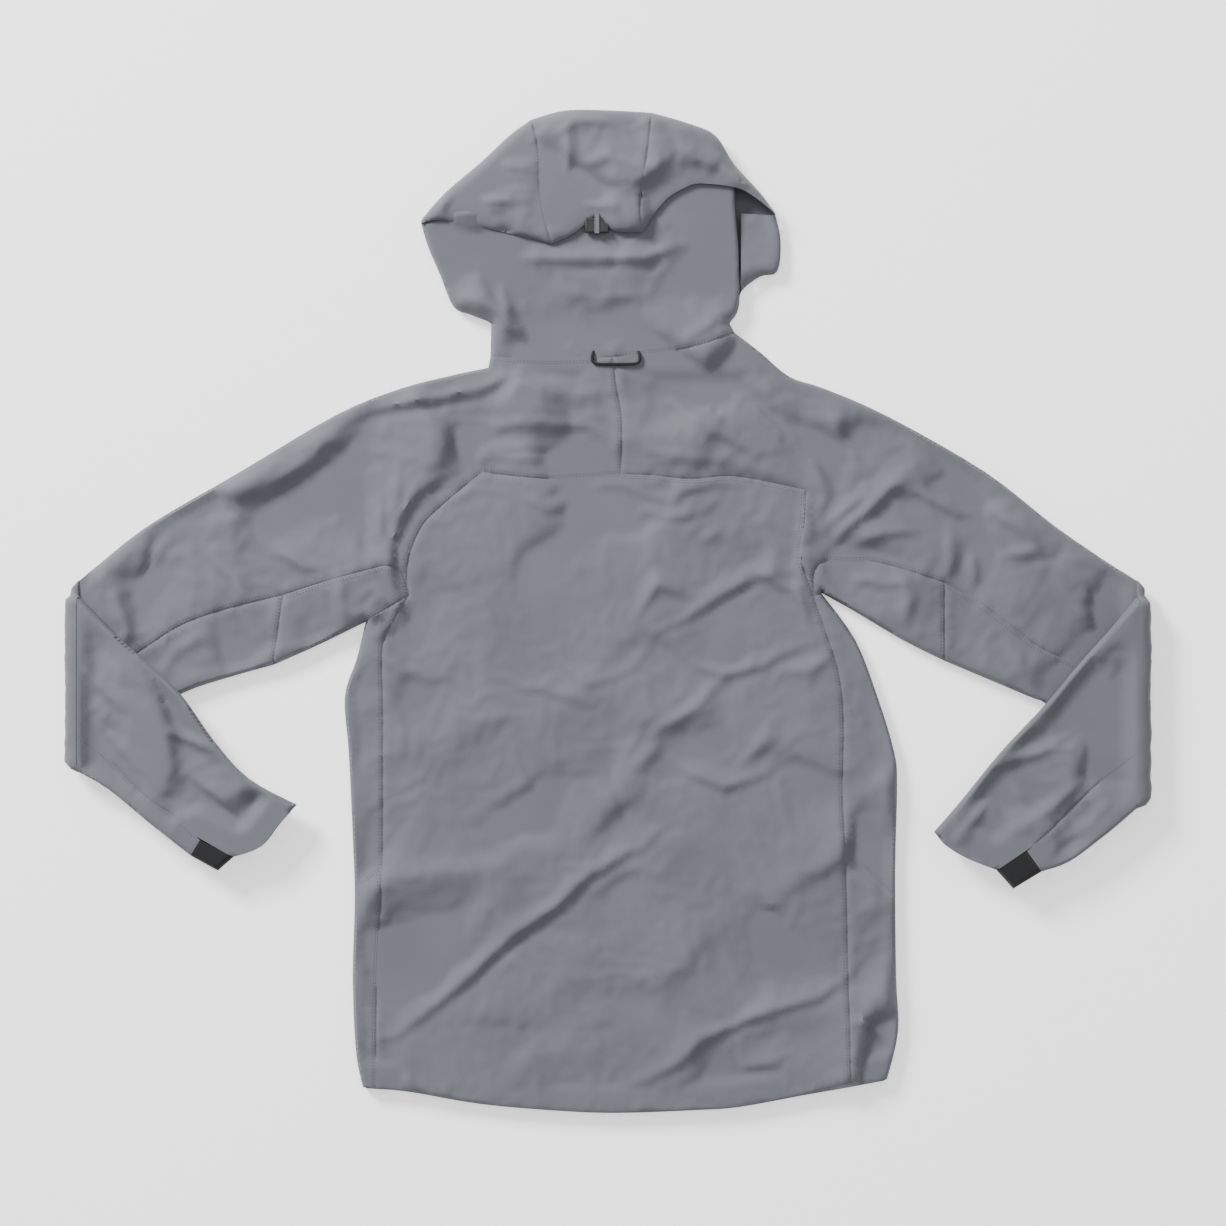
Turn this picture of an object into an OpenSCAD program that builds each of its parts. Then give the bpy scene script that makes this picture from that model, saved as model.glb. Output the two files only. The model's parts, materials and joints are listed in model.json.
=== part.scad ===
// Hooded mountain jacket laid flat on its front, back upwards, forearms folded over the sleeves.
// Origin: middle of the jacket's footprint on the surface it lies on. +X right, +Y to the hood, +Z up.

/* [Overall] */
// Width across the two folded sleeves
jacket_w = 1088; // [1000:1:1180]
// Length from the top of the hood to the tail of the hem
jacket_l = 1004; // [930:1:1080]

/* [Cloth] */
// Thickness of a shell panel with its seam allowance
cloth_t = 0.8; // [0.7:0.1:1.0]
// Air between the front and the back of the body and sleeves
body_gap = 12.6; // [12.4:0.1:14]
// Height of the crown of the hood above the surface
hood_rise = 26; // [25:0.5:28]

/* [Front zip] */
// Distance of the zip from the middle of the footprint
zip_x = 12; // [8:1:16]
// Length of the front zip
front_zip_l = 730; // [700:5:740]
// Width of the slot between two zipped edges
zip_slot = 14; // [12:0.5:15]

/* [Pockets] */
// Length of a hand pocket zip
pocket_zip_l = 170; // [150:5:180]
// Lean of a pocket zip from the front zip, in degrees
pocket_lean = 7; // [4:1:9]

/* [Cords] */
// Diameter of the hem and hood draw cords
cord_d = 2.2; // [1.8:0.1:2.3]
// Diameter of the cord of the hang loop
loop_d = 3.2; // [2.4:0.1:3.6]
// Clear gap inside the hang loop
loop_gap = 5.4; // [4.6:0.1:6]

/* [Hidden] */

shell = [0.51, 0.525, 0.555];
lining = [0.42, 0.43, 0.46];
black = [0.10, 0.10, 0.12];
$fn = 32;

// Heights of the layers
top_z = cloth_t + body_gap;
top_h = top_z + cloth_t;
elbow_play = 1.3;
elbow_z = top_h + elbow_play / 2;
fore_low_z = 2 * elbow_z - top_h;
fore_top_z = 2 * elbow_z - cloth_t;
elbow_x = jacket_w / 2 - elbow_z;
fold_gap = 0.5;
neck_y = 288;
neck_tilt = 3.2;
neck_gap = 0.5;

// Sizes of the zips, as heights above the surface
facing_w = 8;
tape_z = 4.1;
tape_t = 0.6;
tape_w = 10;
coil_z = 3.6;
coil_t = 1.6;
coil_in = 0.6;
coil_out = 3.0;
pin_z = 1.2;
pin_r = 0.45;
pull_l = 26;
pocket_pull_l = 20;

// ---------- helpers ----------
function rev(p) = [for (i = [len(p) - 1:-1:0]) p[i]];
function bend(a, b, c, d, t) =
    0.5 * (2 * b + (c - a) * t + (2 * a - 5 * b + 4 * c - d) * t * t + (3 * b - 3 * c + d - a) * t * t * t);
// Smooth curve through points, scaled to the jacket's size
function smooth(p, n = 4) = [
    for (i = [0:len(p) - 2]) for (k = [0:n - 1])
        bend(p[max(i - 1, 0)], p[i], p[i + 1], p[min(i + 2, len(p) - 1)], k / n),
    p[len(p) - 1],
];
function curve(p, n = 4) = [for (q = smooth(p, n)) [q[0] * jacket_w / 1088, q[1] * jacket_l / 1004]];
function unit(v) = v / norm(v);
// The same line moved sideways, to the left of its direction when w is positive
function aside(p, w) = [
    for (i = [0:len(p) - 1])
        let (d = unit(p[min(i + 1, len(p) - 1)] - p[max(i - 1, 0)])) p[i] + w * [-d[1], d[0]]
];
// A line without its first n points
function later(p, n) = [for (i = [n:len(p) - 1]) p[i]];
// One outline out of lines that meet end to end
function outline(lines) = [for (l = lines) for (i = [0:len(l) - 2]) l[i]];
function arc(c, rx, ry, a0, a1, n = 24) = [
    for (k = [0:n]) let (a = a0 + (a1 - a0) * k / n) [c[0] + rx * cos(a), c[1] + ry * sin(a)]
];

module plate(points, z = 0, t = cloth_t) {
    translate([0, 0, z]) linear_extrude(t) polygon(points);
}
// Upright strip of cloth along a line, on its left side when w is positive
module wall(line, z0, z1, w = cloth_t) {
    translate([0, 0, z0]) linear_extrude(z1 - z0) polygon(concat(line, rev(aside(line, w))));
}
module box(x0, x1, y0, y1, z0, z1) {
    translate([x0, y0, z0]) cube([x1 - x0, y1 - y0, z1 - z0]);
}
module rod_x(x0, x1, y, z, r) {
    translate([x0, y, z]) rotate([0, 90, 0]) cylinder(r = r, h = x1 - x0);
}
// Cord of radius r swept along points
module cord(points, r, sides = 8) {
    n = len(points);
    rings = [
        for (i = [0:n - 1])
            let (
                d = unit(points[min(i + 1, n - 1)] - points[max(i - 1, 0)]),
                s = unit(cross(d, [0, 0, 1])),
                u = cross(s, d)
            )
            for (k = [0:sides - 1]) points[i] + r * (cos(360 * k / sides) * s + sin(360 * k / sides) * u)
    ];
    walls = [
        for (i = [0:n - 2]) for (k = [0:sides - 1])
            let (a = i * sides + k, b = i * sides + (k + 1) % sides) [a, b, b + sides, a + sides]
    ];
    ends = [[for (k = [sides - 1:-1:0]) k], [for (k = [0:sides - 1]) (n - 1) * sides + k]];
    polyhedron(rings, concat(walls, ends), convexity = 10);
}

// ---------- seams and edges, left to right and top to bottom ----------
neck_l = curve([[-118, 255], [-78, 252], [-38, 252], [5, 254]]);
neck_r = curve([[5, 254], [42, 257], [92, 265], [127, 279]]);
centre = curve([[5, 254], [9, 221], [14, 191], [13, 137]]);
yoke_l = curve([[-126, 139], [-88, 134], [-48, 132], [13, 137]]);
yoke_r = curve([[13, 137], [42, 136], [82, 132], [122, 135], [160, 129], [198, 121]]);
armhole_l = curve([[-126, 139], [-163, 108], [-185, 86], [-197, 60], [-201, 36], [-199, 16]]);
armhole_r = curve([[198, 121], [196, 91], [193, 56], [198, 36], [206, 14]]);
side_l = curve([[-199, 16], [-212, -6], [-225, -34], [-225, -100], [-225, -190], [-226, -270], [-231, -370], [-232, -478]]);
side_r = curve([[206, 14], [219, -24], [231, -62], [236, -110], [235, -180], [239, -290], [243, -476]]);
edge_l = curve([
    [-243, -11], [-252, -48], [-264, -86], [-260, -142], [-256, -226],
    [-254, -290], [-256, -366], [-253, -440], [-246, -477],
]);
edge_r = curve([
    [214, 18], [248, -29], [270, -85], [287, -141], [290, -176],
    [288, -260], [289, -366], [291, -421], [280, -469],
]);
hem = curve([
    [-232, -478], [-198, -481], [-128, -493], [-48, -500], [12, -502],
    [92, -499], [132, -496], [192, -485], [243, -476],
]);
front_hem_l = curve([[-225, -475], [-110, -474], [zip_x - zip_slot / 2, -471]]);
front_hem_r = curve([[zip_x + zip_slot / 2, -471], [130, -473], [236, -472]]);

shoulder_l = concat(
    [curve([[-118, 255], [-120, 244]])[0]],
    curve([[-120, 244], [-158, 236], [-208, 223], [-272, 197], [-370, 139], [-465, 83], [-529, 30]])
);
shoulder_r = curve([[127, 279], [152, 260], [182, 235], [217, 223], [281, 195], [379, 139], [451, 83], [529, 30]]);
sleeve_l1 = curve([[-199, 16], [-206, 38], [-220, 45], [-240, 41], [-288, 28], [-325, 16]]);
sleeve_l2 = curve([[-325, 16], [-388, 0], [-428, -15], [-460, -35], [-529, -80]]);
sleeve_r1 = curve([[206, 14], [206, 38], [216, 49], [242, 49], [272, 48], [337, 28]]);
sleeve_r2 = curve([[337, 28], [367, 11], [392, -7], [432, -37], [467, -53], [529, -91]]);
armpit_l = curve([[-199, 16], [-243, -11]]);
armpit_r = curve([[206, 14], [214, 18]]);
low_l1 = curve([[-243, -11], [-290, -34], [-335, -54]]);
low_l2 = curve([[-335, -54], [-378, -66], [-423, -81], [-468, -106], [-529, -157]]);
low_r1 = curve([[214, 18], [248, -1], [295, -29], [337, -50]]);
low_r2 = curve([[337, -50], [420, -85], [440, -94], [480, -130], [529, -194]]);
short_l = curve([[-325, 16], [-330, -20], [-335, -54]]);
short_r = curve([[337, 28], [337, -50]]);

// Front of the jacket, which lies on the surface
front_neck_l = curve([[-104, 226], [-84, 196], [-40, 178], [zip_x - zip_slot / 2, 174]]);
front_neck_r = curve([[zip_x + zip_slot / 2, 174], [62, 180], [100, 202], [118, 232]]);
raglan_l = curve([[-104, 226], [-150, 150], [-188, 80], [-199, 16]]);
raglan_r = curve([[118, 232], [152, 170], [190, 90], [206, 14]]);
front_side_l = curve([[-199, 16], [-212, -6], [-225, -34], [-225, -90], [-225, -280], [-225, -475]]);
front_side_r = curve([[206, 14], [222, -24], [234, -62], [236, -120], [236, -300], [236, -472]]);

// Forearms, folded over the sleeves
fore_top_l = curve([[-529, 16], [-498, -17], [-458, -53], [-425, -84], [-393, -129], [-358, -167], [-310, -193]]);
fore_seam_l = curve([[-529, -124], [-508, -139], [-468, -179], [-433, -204], [-406, -228]]);
fore_low_l = curve([[-529, -161], [-498, -178], [-458, -211], [-416, -244]]);
cuff_l = curve([[-310, -193], [-328, -213], [-346, -235], [-373, -245]]);
elastic_l = curve([[-406, -228], [-373, -245], [-389, -259], [-416, -244]], 1);
fore_top_r = curve([[529, 14], [500, -19], [467, -56], [437, -92], [391, -141], [352, -189], [325, -220]]);
fore_seam_r = curve([[529, -141], [512, -156], [482, -178], [452, -208], [417, -239]]);
fore_low_r = curve([[529, -197], [494, -225], [460, -250], [432, -260]]);
cuff_r = curve([[325, -220], [337, -234], [357, -246], [387, -258]]);
elastic_r = curve([[417, -239], [387, -258], [404, -277], [432, -260]], 1);

// Hood
hood_edge_l = curve([[-187, 387], [-184, 395], [-162, 420], [-129, 448], [-99, 476], [-77, 492]]);
hood_edge_c = curve([[-77, 492], [-50, 500], [-28, 502], [10, 501], [44, 499]]);
hood_edge_r = curve([[44, 499], [82, 488], [108, 476], [126, 448], [151, 420], [168, 396]]);
crown_l = curve([[-77, 492], [-69, 460], [-68, 422], [-63, 393], [-56, 366]]);
crown_r = curve([[44, 499], [40, 460], [34, 422], [32, 397], [35, 378]]);
nape_l = curve([[-187, 387], [-168, 390], [-138, 385], [-108, 379], [-78, 372], [-56, 366]]);
flap = curve([[-56, 366], [-38, 374], [-23, 385], [-11, 394], [-1, 384], [10, 378], [35, 378]]);
nape_r = curve([[35, 378], [47, 397], [60, 412], [77, 422], [92, 426], [127, 422], [147, 412], [168, 396]]);
cheek_l = curve([[-117, 289], [-138, 297], [-155, 305], [-168, 336], [-180, 364], [-187, 387]]);
cheek_r = curve([[122, 289], [131, 304], [134, 321], [153, 336], [170, 341], [173, 371], [168, 396]]);
neck_edge_r = curve([[122, 289], [131, 304], [131, 342], [130, 368], [127, 400], [126, 440]]);
neck_top = curve([[126, 440], [92, 441], [60, 428], [35, 406], [-11, 403], [-56, 394], [-108, 397], [-150, 398], [-187, 387]]);
face_c = [-6 * jacket_w / 1088, 402 * jacket_l / 1004];
face_rx = 104;
face_ry = 70;
binding_w = 8;

// ---------- body, back ----------
module back_panel() color(shell) {
    plate(outline([yoke_l, yoke_r, armhole_r, side_r, rev(hem), rev(side_l), rev(armhole_l)]), top_z);
}
// Half of the back yoke and the upper sleeve in one piece, with its turned upper edge
function to_fold(line, x) = [for (q = line) [abs(q[0]) > abs(x) ? x : q[0], q[1]]];
fold_l = -elbow_x + fold_gap;
fold_r = elbow_x - fold_gap;
module left_shoulder_panel() color(shell) {
    plate(outline([
        neck_l, centre, rev(yoke_l), armhole_l, sleeve_l1, to_fold(sleeve_l2, fold_l),
        [to_fold([sleeve_l2[len(sleeve_l2) - 1]], fold_l)[0], [0, 0]],
        rev(to_fold(shoulder_l, fold_l)), [shoulder_l[0], shoulder_l[0]],
    ]), top_z);
    wall(to_fold(shoulder_l, fold_l), cloth_t, top_z, cloth_t);
}
module right_shoulder_panel() color(shell) {
    plate(outline([
        rev(neck_r), centre, yoke_r, armhole_r, sleeve_r1, to_fold(sleeve_r2, fold_r),
        [to_fold([sleeve_r2[len(sleeve_r2) - 1]], fold_r)[0], [0, 0]],
        rev(to_fold(shoulder_r, fold_r)), [shoulder_r[0], shoulder_r[0]],
    ]), top_z);
    wall(to_fold(shoulder_r, fold_r), cloth_t, top_z, -cloth_t);
}
// Panel of the under sleeve with its turned lower edge
module underarm(seam, short, pit, low, w) color(shell) {
    plate(outline([seam, short, rev(low), rev(pit)]), top_z);
    wall(low, cloth_t, top_z, w);
}
module left_underarm_panel() underarm(sleeve_l1, short_l, armpit_l, low_l1, -cloth_t);
module right_underarm_panel() underarm(sleeve_r1, short_r, armpit_r, low_r1, cloth_t);
module undersleeve(seam, short, low, fold_x, w) color(shell) {
    s = to_fold(seam, fold_x);
    l = to_fold(low, fold_x);
    plate(outline([s, [s[len(s) - 1], l[len(l) - 1]], rev(l), rev(short)]), top_z);
    wall(l, cloth_t, top_z, w);
}
module left_undersleeve_panel() undersleeve(sleeve_l2, short_l, low_l2, fold_l, -cloth_t);
module right_undersleeve_panel() undersleeve(sleeve_r2, short_r, low_r2, fold_r, cloth_t);
// Side panel: back strip, turned edge and front strip
module side_panel(seam, pit, edge, front, w) color(shell) {
    last = len(seam) - 1;
    plate(outline([seam, [seam[last], edge[len(edge) - 1]], rev(edge), rev(pit)]), top_z);
    wall(edge, cloth_t, top_z, w);
    plate(outline([front, [front[len(front) - 1], edge[len(edge) - 1]], rev(edge), rev(pit)]), 0);
}
module left_side_panel() side_panel(side_l, armpit_l, edge_l, front_side_l, cloth_t);
module right_side_panel() side_panel(side_r, armpit_r, edge_r, front_side_r, -cloth_t);

// ---------- body, front ----------
// A pocket's zip stands at [x, y], the lower end of its slot
pocket_x = 178;
pocket_y = -330;
module at_pocket(side) {
    translate([zip_x + side * pocket_x, pocket_y, 0]) rotate([0, 0, side * pocket_lean]) children();
}
module pocket_slot(side) {
    at_pocket(side) translate([0, 0, -1])
        linear_extrude(cloth_t + 2) polygon([
            [-zip_slot / 2, -12], [zip_slot / 2, -12],
            [zip_slot / 2, pocket_zip_l + 12], [-zip_slot / 2, pocket_zip_l + 12],
        ]);
}
module left_front_panel() color(shell) difference() {
    plate(outline([
        raglan_l, front_side_l, front_hem_l, [front_hem_l[len(front_hem_l) - 1], [0, 0]], rev(front_neck_l),
    ]), 0);
    pocket_slot(-1);
}
module right_front_panel() color(shell) difference() {
    plate(outline([
        raglan_r, front_side_r, rev(front_hem_r), [front_hem_r[0], [0, 0]], front_neck_r,
    ]), 0);
    pocket_slot(1);
}
module front_sleeve(raglan, pit, low1, low2, edge, fold_x) color(shell) {
    l = to_fold(low2, fold_x);
    e = to_fold(edge, fold_x);
    plate(outline([raglan, pit, low1, l, [l[len(l) - 1], [0, 0]], rev(e), [e[0], [0, 0]]]), 0);
}
module left_front_sleeve_panel() front_sleeve(raglan_l, armpit_l, low_l1, low_l2, shoulder_l, fold_l);
module right_front_sleeve_panel() front_sleeve(raglan_r, armpit_r, low_r1, low_r2, shoulder_r, fold_r);

// ---------- collar ----------
collar_y = neck_y * jacket_l / 1004 - neck_gap;
collar_side_l = curve([[-118, 255], [-117, 288]], 1);
collar_side_r = curve([[127, 279], [122, 288]], 1);
function below_fold(line) = [for (q = line) [q[0], min(q[1], collar_y)]];
module collar_back_panel() color(shell) {
    plate(outline([
        neck_l, neck_r, below_fold(collar_side_r), [[collar_side_r[1][0], collar_y], [0, 0]],
        rev(below_fold(collar_side_l)),
    ]), top_z);
}
module collar_lining() color(lining) {
    inset = 6;
    plate([
        [neck_l[1][0] + inset, neck_l[1][1] + inset], [zip_x, 260 * jacket_l / 1004],
        [neck_r[10][0] - inset, 278 * jacket_l / 1004], [neck_r[10][0] - inset, collar_y],
        [neck_l[1][0] + inset, collar_y],
    ], top_z - 0.7, 0.7);
}
module left_collar_front() color(shell) {
    plate(outline([
        below_fold(collar_side_l), [[collar_side_l[1][0], collar_y], [0, 0]],
        [[zip_x - zip_slot / 2, collar_y], [0, 0]], rev(front_neck_l), [front_neck_l[0], [0, 0]],
    ]), 0);
    wall(below_fold(collar_side_l), cloth_t, top_z, -cloth_t);
}
module right_collar_front() color(shell) {
    plate(outline([
        rev(below_fold(collar_side_r)), [collar_side_r[0], [0, 0]], rev(front_neck_r),
        [front_neck_r[0], [0, 0]], [[zip_x + zip_slot / 2, collar_y], [0, 0]],
    ]), 0);
    wall(below_fold(collar_side_r), cloth_t, top_z, cloth_t);
}
module chin_guard() color(lining) {
    y0 = collar_y - 34;
    box(zip_x - 12, zip_x + 12, y0, collar_y - 2, 6.8, 7.4);
    for (s = [-1, 1]) box(zip_x + s * 11 - 1, zip_x + s * 11 + 1, y0, collar_y - 2, tape_z + tape_t, 6.8);
}
// Cord loop sewn flat into the collar seam, with an end tab at each side
loop_x0 = -16;
loop_x1 = 32;
loop_y = 253.5 * jacket_l / 1004;
loop_bend = loop_gap + loop_d / 2;
module hang_loop() color(black) {
    cy = loop_y - loop_gap - loop_d / 2;
    cz = top_h + loop_d / 2;
    rod_x(loop_x0 + loop_bend, loop_x1 - loop_bend, cy, cz, loop_d / 2);
    translate([loop_x0 + loop_bend, cy + loop_bend, cz]) rotate([0, 0, 180])
        rotate_extrude(angle = 90) translate([loop_bend, 0]) circle(d = loop_d);
    translate([loop_x1 - loop_bend, cy + loop_bend, cz]) rotate([0, 0, 270])
        rotate_extrude(angle = 90) translate([loop_bend, 0]) circle(d = loop_d);
    for (x = [loop_x0, loop_x1])
        box(x - loop_d / 2, x + loop_d / 2, cy + loop_bend, cy + loop_bend + 6, top_h, top_h + loop_d);
}

// ---------- zips ----------
// One zip stands with its lower end at the origin and runs up +Y
module both_sides() {
    children();
    mirror([1, 0, 0]) children();
}
module facings(l) both_sides() box(zip_slot / 2, zip_slot / 2 + facing_w, -10, l + 10, cloth_t, tape_z);
module tapes(l) both_sides() box(coil_out, coil_out + tape_w, -10, l + 10, tape_z, tape_z + tape_t);
module coils(l) {
    both_sides() box(coil_in, coil_out, 0, l, coil_z, coil_z + coil_t);
    both_sides() box(coil_in, coil_out, -3, -0.4, coil_z - 0.3, coil_z + coil_t + 0.3);
}
slider_w = 4.3;
slider_l = 9;
module slider() {
    plate_t = 1;
    low = coil_z - 0.3;
    high = coil_z + coil_t + 0.3;
    box(-slider_w, slider_w, -slider_l / 2, slider_l / 2, low - plate_t, low);
    box(-slider_w, slider_w, -slider_l / 2, slider_l / 2, high, high + plate_t);
    box(-0.35, 0.35, 0.5, slider_l / 2, low, high);
    both_sides() box(coil_out + 0.5, slider_w, -slider_l / 2, slider_l / 2, low, low + 0.4);
    both_sides() box(coil_out + 0.5, slider_w, -slider_l / 2, slider_l / 2, high - 0.4, high);
    both_sides() box(1.7, 2.5, -1, 1, pin_z - 0.5, low - plate_t);
    rod_x(-2.5, 2.5, 0, pin_z, pin_r);
}
module pull(length) difference() {
    union() {
        rod_x(-1.6, 1.6, 0, pin_z, 0.95);
        box(-1.5, 1.5, -5, -0.6, pin_z - 0.5, pin_z + 0.5);
        box(-3, 3, -length, -5, pin_z - 0.7, pin_z + 0.6);
    }
    rod_x(-2, 2, 0, pin_z, pin_r + 0.05);
}
front_zip_y = collar_y - 8 - front_zip_l;
module at_front_zip() translate([zip_x, front_zip_y, 0]) children();
module zip_facings() color(shell) {
    at_front_zip() facings(front_zip_l - 4);
    for (s = [-1, 1]) at_pocket(s) facings(pocket_zip_l);
}
module zip_tapes() color(black) {
    at_front_zip() tapes(front_zip_l - 4);
    for (s = [-1, 1]) at_pocket(s) tapes(pocket_zip_l);
}
module zip_coils() color(black) {
    at_front_zip() coils(front_zip_l);
    for (s = [-1, 1]) at_pocket(s) coils(pocket_zip_l);
}
module on_front_zip() at_front_zip() translate([0, front_zip_l - slider_l / 2, 0]) children();
module on_pocket_zip(s) at_pocket(s) translate([0, pocket_zip_l - slider_l / 2, 0]) children();
module front_zip_slider() color(black) on_front_zip() slider();
module front_zip_pull() color(black) on_front_zip() pull(pull_l);
module left_pocket_slider() color(black) on_pocket_zip(-1) slider();
module right_pocket_slider() color(black) on_pocket_zip(1) slider();
module left_pocket_pull() color(black) on_pocket_zip(-1) pull(pocket_pull_l);
module right_pocket_pull() color(black) on_pocket_zip(1) pull(pocket_pull_l);
// Pocket bag: an inner sheet sewn to the front panel round its edge
module pocket_bag(side) color(lining) at_pocket(side) mirror([side > 0 ? 1 : 0, 0, 0]) {
    x0 = -22;
    x1 = 140;
    y0 = -60;
    y1 = pocket_zip_l + 22;
    z1 = 7.6;
    difference() {
        box(x0, x1, y0, y1, cloth_t, z1);
        box(x0 + 0.8, x1 - 0.8, y0 + 0.8, y1 - 0.8, cloth_t - 1, z1 - 0.8);
    }
}
module left_pocket_bag() pocket_bag(-1);
module right_pocket_bag() pocket_bag(1);

// ---------- hem ----------
hem_fold_w = 22;
tunnel_z = 2.4;
back_hem_in = curve([
    [-226, -456], [-198, -459], [-128, -471], [-48, -478], [12, -480],
    [92, -477], [132, -474], [192, -463], [237, -454],
]);
module back_hem_fold() color(shell) {
    z0 = top_z - tunnel_z - 0.7;
    plate(concat(hem, rev(back_hem_in)), z0, 0.7);
    wall(hem, z0 + 0.7, top_z);
}
module front_hem_folds() color(shell) {
    for (line = [front_hem_l, front_hem_r]) {
        run = [for (q = line) [abs(q[0] - zip_x) < 17 ? zip_x + sign(q[0] - zip_x) * 17 : q[0], q[1]]];
        plate(concat(run, rev(aside(run, hem_fold_w))), cloth_t + tunnel_z, 0.7);
        wall(run, cloth_t, cloth_t + tunnel_z, 1);
    }
}
cord_in = 11;
function raise(line, z) = [for (q = line) [q[0], q[1], z]];
function some(line, n) = [for (i = [0:n:len(line) - 1]) line[i]];
lock_y = -438 * jacket_l / 1004;
lock_l = -200 * jacket_w / 1088;
lock_r = 206 * jacket_w / 1088;
lock_z = 5.2;
module front_cord(line, x) {
    run = [for (q = line) if (abs(q[0] - zip_x) < abs(x - zip_x) - 6 && abs(q[0] - zip_x) > 16) q];
    far = x < zip_x ? run : rev(run);
    cord(concat(
        [
            [x, lock_y + 14, lock_z], [x, lock_y, lock_z], [x, lock_y - 7.5, lock_z],
            [x, lock_y - 11, 3.6], [x, lock_y - 13.5, 2.2], [x + (x < zip_x ? 1 : -1), lock_y - 22, 2.1],
        ],
        raise(far, cloth_t + tunnel_z / 2)
    ), cord_d / 2 - 0.05);
}
module hem_drawcord() color(black) {
    cord(raise(some([for (q = aside(hem, cord_in)) if (q[0] > -228 && q[0] < 236) q], 2),
        top_z - tunnel_z / 2), cord_d / 2 - 0.05);
    front_cord(aside(front_hem_l, cord_in), lock_l);
    front_cord(aside(front_hem_r, cord_in), lock_r);
}
// Cord lock: a block with a bore for the spring button and a channel for the cord
button_r = 2.2;
lock_travel = 2;
module lock() difference() {
    box(-6.5, 6.5, -6, 6, -3.4, 3.4);
    rod_x(-7, 5.4, 0, 0, button_r + 0.05);
    translate([0.5, 7, 0]) rotate([90, 0, 0]) cylinder(d = cord_d + 0.4, h = 14);
}
module button() difference() {
    union() {
        rod_x(-9, 3, 0, 0, button_r);
        rod_x(-10.2, -9, 0, 0, button_r + 0.9);
    }
    box(0.5 - cord_d / 2 - 0.3 - lock_travel, 0.5 + cord_d / 2 + 0.3, -5, 5, -cord_d / 2 - 0.2, cord_d / 2 + 0.2);
}
module at_lock(x, out) translate([x, lock_y, lock_z]) mirror([out > 0 ? 1 : 0, 0, 0])
    translate([-0.5, 0, 0]) children();
module left_hem_lock() color(black) at_lock(lock_l, -1) lock();
module right_hem_lock() color(black) at_lock(lock_r, 1) lock();
module left_hem_button() color(black) at_lock(lock_l, -1) button();
module right_hem_button() color(black) at_lock(lock_r, 1) button();

// ---------- elbows ----------
// Band of cloth that runs round the outside of the folded elbow
module elbow_band(side, y0, y1) color(shell) {
    translate([side * elbow_x, y0, elbow_z]) rotate([-90, 0, 0]) linear_extrude(y1 - y0)
        polygon(concat(
            [for (k = [0:24]) let (a = 90 - 180 * k / 24) (elbow_z - 0.2) * [side * cos(a), sin(a)]],
            [for (k = [24:-1:0]) let (a = 90 - 180 * k / 24) (elbow_z - cloth_t) * [side * cos(a), sin(a)]]
        ));
}
module left_elbow_fold() elbow_band(-1, -157 * jacket_l / 1004, 20 * jacket_l / 1004);
module right_elbow_fold() elbow_band(1, -190 * jacket_l / 1004, 20 * jacket_l / 1004);

// ---------- forearms ----------
// Outer panel of a forearm, above its seam, with the turned edge
module forearm_panel(top, seam, cuff, fold_x, w) color(shell) {
    t = to_fold(top, fold_x);
    s = to_fold(seam, fold_x);
    plate(outline([s, rev(cuff), rev(t), [t[0], s[0]]]), fore_top_z);
    wall(t, fore_low_z + cloth_t, fore_top_z, w);
}
module under_panel(seam, low, fold_x, w) color(shell) {
    s = to_fold(seam, fold_x);
    l = to_fold(low, fold_x);
    plate(outline([s, [s[len(s) - 1], l[len(l) - 1]], rev(l), [l[0], s[0]]]), fore_top_z);
    wall(l, fore_low_z + cloth_t, fore_top_z, w);
}
module inner_panel(top, cuff, elastic, low, fold_x) color(shell) {
    t = to_fold(top, fold_x);
    l = to_fold(low, fold_x);
    plate(outline([t, cuff, [elastic[1], elastic[2]], [elastic[2], [0, 0]], rev(l), [l[0], t[0]]]), fore_low_z);
}
module cuff_elastic(corners) color(black) {
    plate(corners, fore_top_z);
    wall([corners[1], corners[2], corners[3]], fore_low_z + cloth_t, fore_top_z, cloth_t);
}
// Facing turned inside along the cuff, clear of the seam at its top end
module cuff_facing(cuff, w) color(lining) {
    line = aside(later(cuff, 2), w / 12);
    plate(concat(line, rev(aside(line, w))), fore_top_z - 0.7, 0.6);
}
module left_forearm_panel() forearm_panel(fore_top_l, fore_seam_l, cuff_l, fold_l, -cloth_t);
module left_forearm_under_panel() under_panel(fore_seam_l, fore_low_l, fold_l, cloth_t);
module left_forearm_inner_panel() inner_panel(fore_top_l, cuff_l, elastic_l, fore_low_l, fold_l);
module left_cuff_elastic() cuff_elastic(elastic_l);
module left_cuff_facing() cuff_facing(cuff_l, -12);
module right_forearm_panel() forearm_panel(fore_top_r, fore_seam_r, cuff_r, fold_r, cloth_t);
module right_forearm_under_panel() under_panel(fore_seam_r, fore_low_r, fold_r, -cloth_t);
module right_forearm_inner_panel() inner_panel(fore_top_r, cuff_r, elastic_r, fore_low_r, fold_r);
module right_cuff_elastic() mirror([1, 0, 0]) cuff_elastic([for (q = elastic_r) [-q[0], q[1]]]);
module right_cuff_facing() cuff_facing(cuff_r, 12);

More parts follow.
